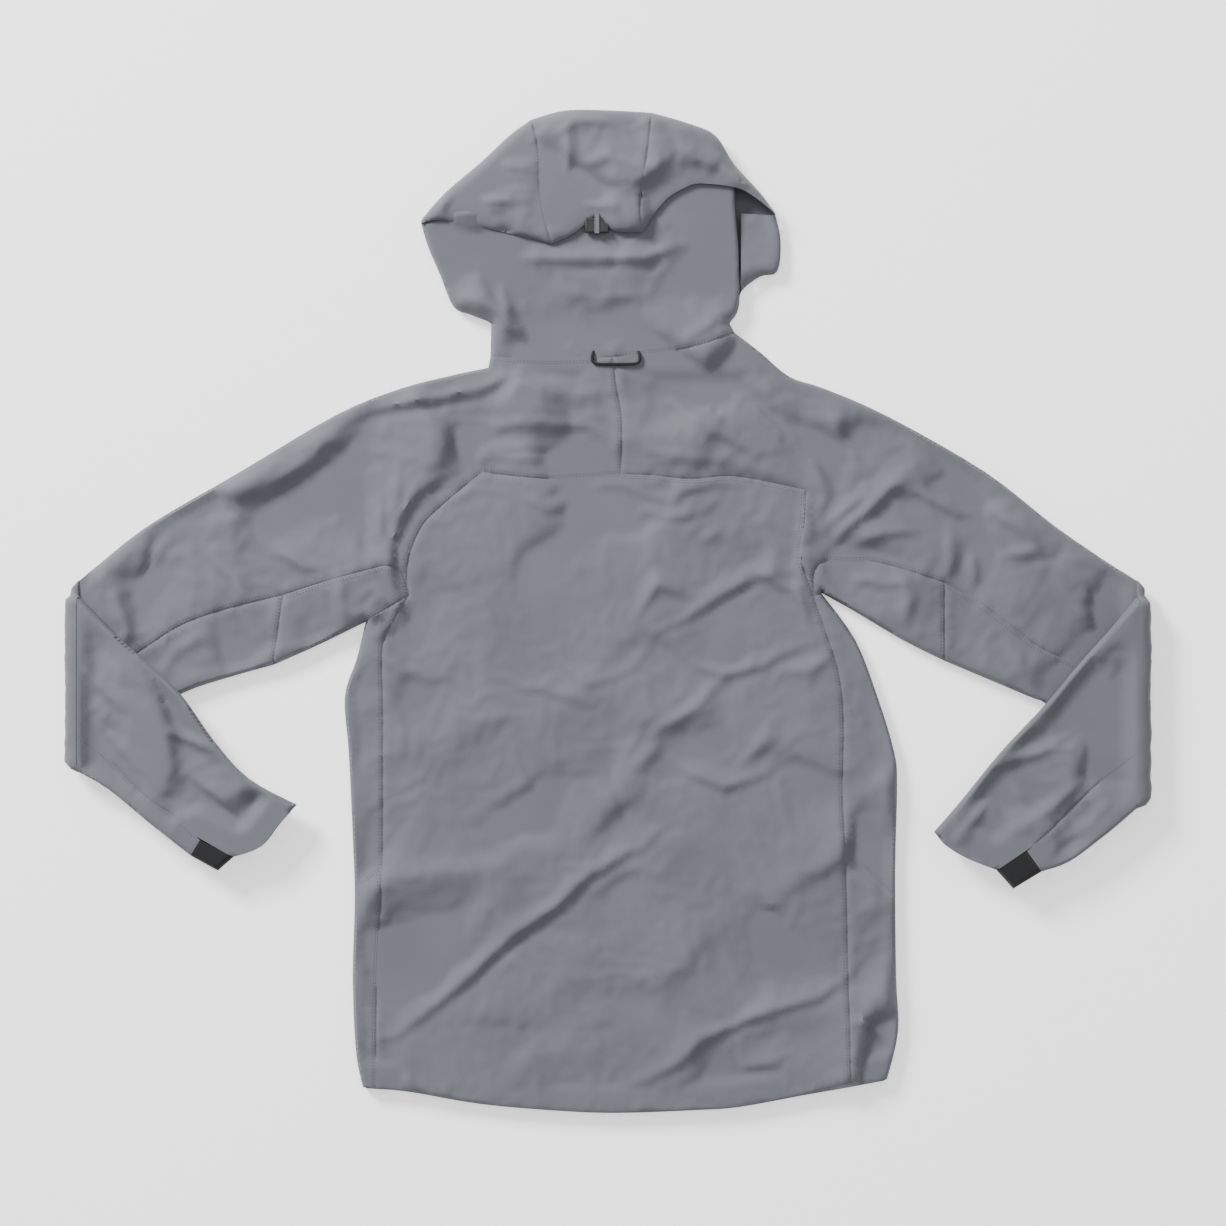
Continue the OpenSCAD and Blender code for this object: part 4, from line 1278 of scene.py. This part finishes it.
def make_panel(layer, name, nodes, finish, downward=False):
    """Makes the finished cloth of one or more panels of a layer."""
    used, corners = layer.panel(*nodes)
    if downward:
        corners = corners[:, ::-1]
    piece = new_piece(name, layer.place[used], corners, finish)
    thicken(piece, cloth().thickness)
    plan = np.column_stack((layer.points[used], np.zeros(len(used))))
    declare_sheet(plan, corners)
    return piece


def dress(layer, name, nodes, body, finish="shell", downward=False):
    """Makes the cloth of some nodes, which takes their place on one body."""
    piece = make_panel(layer, name, nodes, finish, downward)
    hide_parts(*nodes)
    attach(piece, body)


# ---------------------------------------------------------------- operators
class JACKET_OT_body(Operator):
    """Make the cloth of the back, shoulders, sleeves and sides"""

    bl_idname = "jacket.body"
    bl_label = "Body and Sleeves"

    def execute(self, context):
        make_body_layers()
        top, under = LAYERS["top"], LAYERS["under"]
        for node in BODY_TOP[:-2]:
            dress(top, f"{node}_cloth", [node], "jacket")
        for node in BODY_UNDER[:6]:
            dress(under, f"{node}_lower_cloth", [node], "jacket", downward=True)
        return {"FINISHED"}


class JACKET_OT_neck(Operator):
    """Make the cloth that crosses the fold between the collar and the hood"""

    bl_idname = "jacket.neck"
    bl_label = "Collar and Neck"

    def execute(self, context):
        top, under = LAYERS["top"], LAYERS["under"]
        pieces = [make_panel(top, "neck_cloth", BODY_TOP[-2:], "shell")]
        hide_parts(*BODY_TOP[-2:])
        for side in ("left", "right"):
            nodes = [f"{side}_collar_front", f"hood_{side}_cheek_panel"]
            piece = make_panel(under, f"{side}_cheek_cloth", nodes, "shell", True)
            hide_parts(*nodes)
            pieces.append(piece)
        for piece in pieces:
            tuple(NECK_BEND[0])
            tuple(NECK_BEND[1])
            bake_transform(piece)
        return {"FINISHED"}


class JACKET_OT_hood(Operator):
    """Make the crown and side panels of the hood"""

    bl_idname = "jacket.hood"
    bl_label = "Hood"

    def execute(self, context):
        for node in CROWN_TOP:
            dress(LAYERS["crown"], f"{node}_cloth", [node], "hood")
        flap_line = face_loops("hood_right_cheek_panel", 1, high("collar_back_panel").z - 0.8 * MM)
        outline = {"hood_right_cheek_panel": flap_line[:1]}
        flap = Layer(outline, cloth().spacing, LAYERS["under"])
        middle = middle_height(flap.points, ELBOW_REACH)
        wave = detail(flap, 60) * fade(flap.distance({"fold"}), 0, EDGE_REACH)
        height = middle + (TOP - 0.9 * MM + wave - middle) * roll(flap.distance({"fold"}), FLAP_RADIUS)
        flap.place = np.column_stack((flap.points, height))
        piece = make_panel(flap, "side_flap_cloth", list(outline), "shell")
        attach(piece, "hood")
        return {"FINISHED"}


class JACKET_OT_forearms(Operator):
    """Make the folded forearms, their cuffs and the cloth round the elbows"""

    bl_idname = "jacket.forearms"
    bl_label = "Forearms"

    def execute(self, context):
        make_forearm_layers("left", LEFT_FOREARM_FOLDS, 7)
        make_forearm_layers("right", RIGHT_FOREARM_FOLDS, 8)
        for side in ("left", "right"):
            body = f"{side}_forearm"
            upper, inner = LAYERS[body], LAYERS[f"{side}_inner"]
            for layer, part, finish, downward in (
                (upper, "forearm_panel", "shell", False),
                (upper, "forearm_under_panel", "shell", False),
                (upper, "cuff_elastic", "elastic", False),
                (inner, "forearm_inner_panel", "shell", True),
            ):
                node = f"{side}_{part}"
                dress(layer, f"{node}_cloth", [node], body, finish, downward)
            band = elbow_band(side)
            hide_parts(f"{side}_elbow_fold")
            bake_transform(band)
        return {"FINISHED"}


def axis_profile(layer, side):
    """Heights of a layer along the elbow's axis, as places along y and heights."""
    sign = -1 if side == "left" else 1
    used = layer.place[np.unique(layer.triangles)]
    on_axis = used[used[:, 0] * sign > ELBOW.x - 0.1 * MM]
    on_axis = on_axis[np.argsort(on_axis[:, 1])]
    return on_axis[:, 1], on_axis[:, 2]


def elbow_band(side):
    """Cloth round the outside of the folded elbow, from the sleeve's underside to the forearm's top."""
    sign = -1 if side == "left" else 1
    low_y, low_z = axis_profile(LAYERS["under"], side)
    top_y, top_z = axis_profile(LAYERS[f"{side}_forearm"], side)
    ends = (min(low_y[0], top_y[0]), max(low_y[-1], top_y[-1]))
    places = np.linspace(*ends, round((ends[1] - ends[0]) / (3.6 * MM)))
    below = ELBOW.z - np.interp(places, low_y, low_z)
    above = np.interp(places, top_y, top_z) - ELBOW.z
    turns = 22
    coords, plan, faces = [], [], []
    for k in range(turns + 1):
        share = k / turns
        angle = math.pi * (share - 0.5)
        for j, y in enumerate(places):
            radius = below[j] * (1 - share) + above[j] * share
            crumple = noise.fractal(Vector((y / 0.018, angle * 0.7, sign)), 0.9, 2.1, 3)
            radius += 1.5 * MM * crumple * math.cos(angle) * min(1, radius / 0.01)
            reach = radius * (1 - 0.1 * math.cos(angle) ** 2)
            coords.append((sign * (ELBOW.x + reach * math.cos(angle)), y, ELBOW.z + radius * math.sin(angle)))
            plan.append((share * math.pi * ELBOW.z, y, 0))
    count = len(places)
    for k in range(turns):
        for j in range(count - 1):
            a = k * count + j
            quad = (a, a + 1, a + count + 1, a + count)
            faces.append(quad if side == "left" else quad[::-1])
    band = new_piece(f"{side}_elbow_cloth", coords, faces, "shell")
    thicken(band, cloth().thickness)
    plan = np.array(plan)
    declare_sheet(plan, halved(faces))
    return band


def tube(name, path, radius, finish):
    """A round cord along smooth points, closed at its ends."""
    curve = bpy.data.curves.new(name, "CURVE")
    curve.dimensions = "3D"
    curve.bevel_depth = radius
    curve.bevel_resolution = 4
    curve.use_fill_caps = True
    line = curve.splines.new("NURBS")
    line.points.add(len(path) - 1)
    for point, place in zip(line.points, path):
        point.co = (*place, 1)
    line.use_endpoint_u = True
    line.resolution_u = 6
    curve.materials.append(material(finish))
    make_active(link(name, curve))
    bpy.ops.object.convert(target="MESH")
    piece = bpy.context.object
    bpy.ops.object.shade_smooth()
    return piece


def hem_channel():
    """The back hem, turned under to make a channel for the cord."""
    surface = BVHTree.FromPolygons(LAYERS["top"].place.tolist(), LAYERS["top"].triangles.tolist())
    profile = ((0.1, -0.4), (-0.5, -1.4), (-0.3, -2.4), (0.8, -3.1), (5, -3.3), (11, -3.2), (17.5, -3.3))
    coords, plan, faces = [], [], []
    for line in chains(LAYERS["top"], "hem"):
        if line[0][0] > line[-1][0]:
            line = line[::-1]
        tangents = np.gradient(line, axis=0)
        tangents /= np.linalg.norm(tangents, axis=1)[:, None]
        first = len(coords)
        for place, along in zip(line, tangents):
            inward = np.array((-along[1], along[0]))
            start = Vector((*(place + inward * 0.3 * MM), 0.1))
            hit = surface.ray_cast(start, Vector((0, 0, -1)))[0]
            height = hit.z if hit else TOP - 1.2 * MM
            for inset, drop in profile:
                spot = place + inward * inset * MM
                coords.append((*spot, height + drop * MM))
                plan.append((*(place + inward * (inset + 1.4 - drop) * MM), 0))
        count = len(profile)
        for k in range(len(line) - 1):
            for j in range(count - 1):
                a = first + k * count + j
                faces.append((a, a + 1, a + count + 1, a + count))
    piece = new_piece("back_hem_cloth", coords, faces, "shell")
    thicken(piece, cloth().thickness)
    declare_sheet(np.array(plan), halved(faces))
    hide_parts("back_hem_fold")
    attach(piece, "jacket")


class JACKET_OT_hem(Operator):
    """Make the turned hem of the back"""

    bl_idname = "jacket.hem"
    bl_label = "Hem"

    def execute(self, context):
        hem_channel()
        return {"FINISHED"}


class JACKET_OT_loop(Operator):
    """Make the hanging loop at the collar"""

    bl_idname = "jacket.loop"
    bl_label = "Hanging Loop"

    def execute(self, context):
        start, end = low("hang_loop"), high("hang_loop")
        radius = 1.5 * MM
        height = TOP + radius + 0.9 * MM
        left, right, bottom, seam = start.x + radius, end.x - radius, start.y + radius, end.y
        path = [
            (left + 1.5 * MM, seam, TOP - 1 * MM),
            (left + 0.8 * MM, seam - 3 * MM, height - 0.4 * MM),
            (left, seam - 6 * MM, height),
            (left + 0.5 * MM, bottom + 2 * MM, height),
            (left + 5 * MM, bottom, height),
            ((left + right) / 2, bottom + 0.4 * MM, height + 0.3 * MM),
            (right - 5 * MM, bottom, height),
            (right - 0.5 * MM, bottom + 2 * MM, height),
            (right, seam - 6 * MM, height),
            (right - 0.8 * MM, seam - 3 * MM, height - 0.4 * MM),
            (right - 1.5 * MM, seam, TOP - 1 * MM),
        ]
        piece = tube("hanging_loop", path, radius, "cord")
        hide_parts("hang_loop")
        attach(piece, "jacket")
        return {"FINISHED"}


def soft_block(name, start, end, bevel, finish):
    """A moulded block between two corners, its edges rounded and its top inset."""
    bpy.ops.object.select_all(action="DESELECT")
    centre = (start + end) / 2
    bpy.ops.mesh.primitive_cube_add(size=1, location=centre, scale=end - start)
    piece = bpy.context.object
    piece.name = name
    bpy.ops.object.transform_apply(location=True, rotation=False, scale=True)
    bpy.ops.object.mode_set(mode="EDIT")
    bpy.ops.mesh.select_all(action="SELECT")
    bpy.ops.mesh.bevel(offset=bevel, segments=4, affect="EDGES")
    bpy.ops.mesh.select_all(action="DESELECT")
    bpy.ops.object.mode_set(mode="OBJECT")
    for face in piece.data.polygons:
        face.select = face.normal.z > 0.99
    bpy.ops.object.mode_set(mode="EDIT")
    bpy.ops.mesh.inset(thickness=bevel * 0.8)
    bpy.ops.mesh.extrude_region_move(TRANSFORM_OT_translate={"value": (0, 0, -bevel * 0.45)})
    bpy.ops.object.mode_set(mode="OBJECT")
    bpy.ops.object.shade_smooth_by_angle(angle=TRIM_SHARP)
    piece.data.materials.append(material(finish))
    return piece


class JACKET_OT_adjuster(Operator):
    """Make the cord lock at the back of the hood, its cord and the tab over it"""

    bl_idname = "jacket.adjuster"
    bl_label = "Hood Adjuster"

    def execute(self, context):
        start, end = low("hood_cord_lock"), high("hood_cord_lock")
        block = soft_block("adjuster_block", start, end, 1.3 * MM, "plastic")
        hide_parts("hood_cord_lock")
        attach(block, "hood")
        tab_start = Vector(((start.x + end.x) / 2 - 2.4 * MM, start.y - 1 * MM, end.z - 0.4 * MM))
        tab_end = Vector(((start.x + end.x) / 2 + 2.4 * MM, end.y + 8 * MM, end.z + 0.6 * MM))
        tab = soft_block("adjuster_tab", tab_start, tab_end, 0.35 * MM, "shell")
        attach(tab, "hood")
        middle = (start.x + end.x) / 2
        height = (start.z + end.z) / 2
        reach = 26 * MM
        path = [
            (start.x - reach, end.y + 6 * MM, height + 0.4 * MM),
            (start.x - reach / 2, end.y - 2 * MM, height),
            (start.x, end.y - 6 * MM, height),
            (middle, end.y - 6 * MM, height),
            (end.x, end.y - 6 * MM, height),
            (end.x + reach / 2, end.y - 2 * MM, height),
            (end.x + reach, end.y + 6 * MM, height + 0.4 * MM),
        ]
        cord = tube("adjuster_cord", path, 1 * MM, "cord")
        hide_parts("hood_adjuster_cord")
        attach(cord, "hood")
        return {"FINISHED"}


class JACKET_OT_stitching(Operator):
    """Sew the rows of stitches along the seams"""

    bl_idname = "jacket.stitching"
    bl_label = "Stitching"

    def execute(self, context):
        rows = (
            ("body_stitches", "top", "jacket", (1.9 * MM, 3.9 * MM)),
            ("hood_stitches", "crown", "hood", (1.9 * MM,)),
            ("left_forearm_stitches", "left_forearm", "left_forearm", (1.9 * MM,)),
            ("right_forearm_stitches", "right_forearm", "right_forearm", (1.9 * MM,)),
        )
        for name, key, body, offsets in rows:
            more = [straight(ends) for ends in SIDE_SEAMS] if key == "top" else []
            coords, faces = sew_lines(LAYERS[key], offsets, more=more)
            piece = new_piece(name, coords, faces, "thread")
            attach(piece, body)
        return {"FINISHED"}


# Each trim's finish, and how far its edges are rounded
TRIMS = {
    "collar_lining": ("lining", 0.0),
    "chin_guard": ("lining", 0.3),
    "zip_facings": ("lining", 0.25),
    "zip_tapes": ("tape", 0.2),
    "zip_coils": ("plastic", 0.5),
    "front_zip_slider": ("plastic", 0.25),
    "front_zip_pull": ("plastic", 0.3),
    **dict.fromkeys(sided("pocket_bag"), ("lining", 0.0)),
    **dict.fromkeys(sided("pocket_slider"), ("plastic", 0.25)),
    **dict.fromkeys(sided("pocket_pull"), ("plastic", 0.3)),
    "front_hem_folds": ("shell", 0.3),
    "hem_drawcord": ("cord", 0.0),
    **dict.fromkeys(sided("hem_lock"), ("plastic", 0.6)),
    **dict.fromkeys(sided("hem_button"), ("plastic", 0.3)),
    **dict.fromkeys(sided("cuff_facing"), ("lining", 0.2)),
    "hood_brim": ("lining", 0.3),
    "hood_face_binding": ("shell", 0.4),
    "hood_lock_button": ("plastic", 0.3),
}


def rounded_copy(node, finish, bevel):
    """A copy of a trim with its edges rounded, which takes its place."""
    source = frame["nodes"][node]
    work = bmesh.new()
    work.from_mesh(source.data)
    bmesh.ops.remove_doubles(work, verts=work.verts, dist=1e-6)
    bmesh.ops.dissolve_limit(work, angle_limit=math.radians(3), verts=work.verts, edges=work.edges)
    mesh = bpy.data.meshes.new(f"{node}_trim")
    work.to_mesh(mesh)
    work.free()
    piece = link(f"{node}_trim", mesh)
    mesh.materials.clear()
    mesh.materials.append(material(finish))
    make_active(piece)
    modifier = piece.modifiers.new("Round", "BEVEL")
    modifier.width = bevel * MM
    modifier.segments = 2
    modifier.limit_method = "ANGLE"
    modifier.angle_limit = TRIM_SHARP
    bpy.ops.object.modifier_apply(modifier=modifier.name)
    bpy.ops.object.shade_smooth_by_angle(angle=TRIM_SHARP)
    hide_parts(node)
    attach(piece, source["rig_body"])


class JACKET_OT_trims(Operator):
    """Round the edges of the facings, locks, sliders and pulls, and give them their finishes"""

    bl_idname = "jacket.trims"
    bl_label = "Trims"

    def execute(self, context):
        for node, (finish, bevel) in TRIMS.items():
            if bevel:
                rounded_copy(node, finish, bevel)
            else:
                thing = frame["nodes"][node]
                thing.data.materials.clear()
                thing.data.materials.append(material(finish))
        return {"FINISHED"}


class JACKET_OT_teeth(Operator):
    """Make the teeth of the zips' coils"""

    bl_idname = "jacket.teeth"
    bl_label = "Zip Teeth"

    def execute(self, context):
        coords, faces = [], []
        pitch = 1.6 * MM
        height = low("zip_coils").z + 0.5 * MM
        zips = (
            ("front_zip_slider", "front_zip_slide"),
            ("left_pocket_slider", "left_pocket_zip_slide"),
            ("right_pocket_slider", "right_pocket_zip_slide"),
        )
        for node, name in zips:
            joint = next(j for j in frame["joints"] if j["name"] == name)
            along = Vector(joint["axis"])
            length = joint["range_m"][1]
            across = along.cross(Vector((0, 0, 1)))
            middle = (low(node) + high(node)) / 2
            start = Vector((middle.x, middle.y, height)) - along * 2 * MM
            for k in range(int(length / pitch)):
                for side in (-1, 1):
                    centre = start + along * (k + 0.25 * side) * pitch + across * side * 1.7 * MM
                    stitch(coords, faces, centre, across, Vector((0, 0, -1)), 0.8 * MM)
        piece = new_piece("zip_teeth", coords, faces, "plastic")
        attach(piece, "jacket")
        return {"FINISHED"}


class JACKET_OT_stage(Operator):
    """Make the floor, the lights and the camera"""

    bl_idname = "jacket.stage"
    bl_label = "Stage"

    def execute(self, context):
        bpy.ops.object.select_all(action="DESELECT")
        bpy.ops.mesh.primitive_plane_add(size=12, location=(0, 0, -0.8 * MM))
        floor = context.object
        floor.name = "floor"
        bpy.ops.object.transform_apply(location=True, rotation=False, scale=False)
        paint, _, shader = new_material("Pale Floor")
        set_sockets(shader, Base_Color=(0.9, 0.9, 0.9, 1), Roughness=0.9)
        set_sockets(shader, Emission_Color=(1, 1, 1, 1), Emission_Strength=0.8)
        floor.data.materials.append(paint)

        world = bpy.data.worlds.new("Soft Light")
        world.use_nodes = True
        sky = world.node_tree.nodes["Background"]
        set_sockets(sky, Color=(1, 1, 1, 1), Strength=0.7)
        context.scene.world = world
        for place, size, power in (((-3.2, 3.4, 2.7), 1.4, 620), ((0.4, 0.9, 2.6), 2.2, 18)):
            lamp = bpy.data.lights.new("Window", "AREA")
            lamp.size = size
            lamp.energy = power
            light = link("Window", lamp)
            light.location = place
            light.rotation_euler = (-Vector(place)).to_track_quat("-Z", "Y").to_euler()

        lens = bpy.data.cameras.new("Camera")
        lens.lens = 85
        lens.sensor_width = 36
        camera = link("Camera", lens)
        camera.location = (0.005, -0.002, 0.014 + 1.226 * 85 / 36)
        context.scene.camera = camera
        return {"FINISHED"}


class JACKET_PT_panel(Panel):
    """Lists the steps that dress the jacket"""

    bl_label = "Jacket"
    bl_idname = "JACKET_PT_panel"
    bl_space_type = "VIEW_3D"
    bl_region_type = "UI"
    bl_category = "Jacket"

    def draw(self, context):
        layout = self.layout
        for group in (cloth(), colours()):
            for name in group.bl_rna.properties.keys():
                if name not in ("rna_type", "name"):
                    layout.prop(group, name)
        for step in STEPS:
            layout.operator(step.bl_idname)


STEPS = (
    JACKET_OT_body,
    JACKET_OT_neck,
    JACKET_OT_hood,
    JACKET_OT_forearms,
    JACKET_OT_hem,
    JACKET_OT_loop,
    JACKET_OT_adjuster,
    JACKET_OT_stitching,
    JACKET_OT_trims,
    JACKET_OT_teeth,
    JACKET_OT_stage,
)
CLASSES = (JacketCloth, JacketColours, *STEPS, JACKET_PT_panel)


def register():
    for one in CLASSES:
        bpy.utils.register_class(one)
    bpy.types.Scene.jacket_cloth = PointerProperty(type=JacketCloth)
    bpy.types.Scene.jacket_colours = PointerProperty(type=JacketColours)


def unregister():
    del bpy.types.Scene.jacket_cloth
    del bpy.types.Scene.jacket_colours
    for one in reversed(CLASSES):
        bpy.utils.unregister_class(one)


def main():
    register()
    for step in STEPS:
        space, name = step.bl_idname.split(".")
        getattr(getattr(bpy.ops, space), name)()


if __name__ == "__main__":
    main()
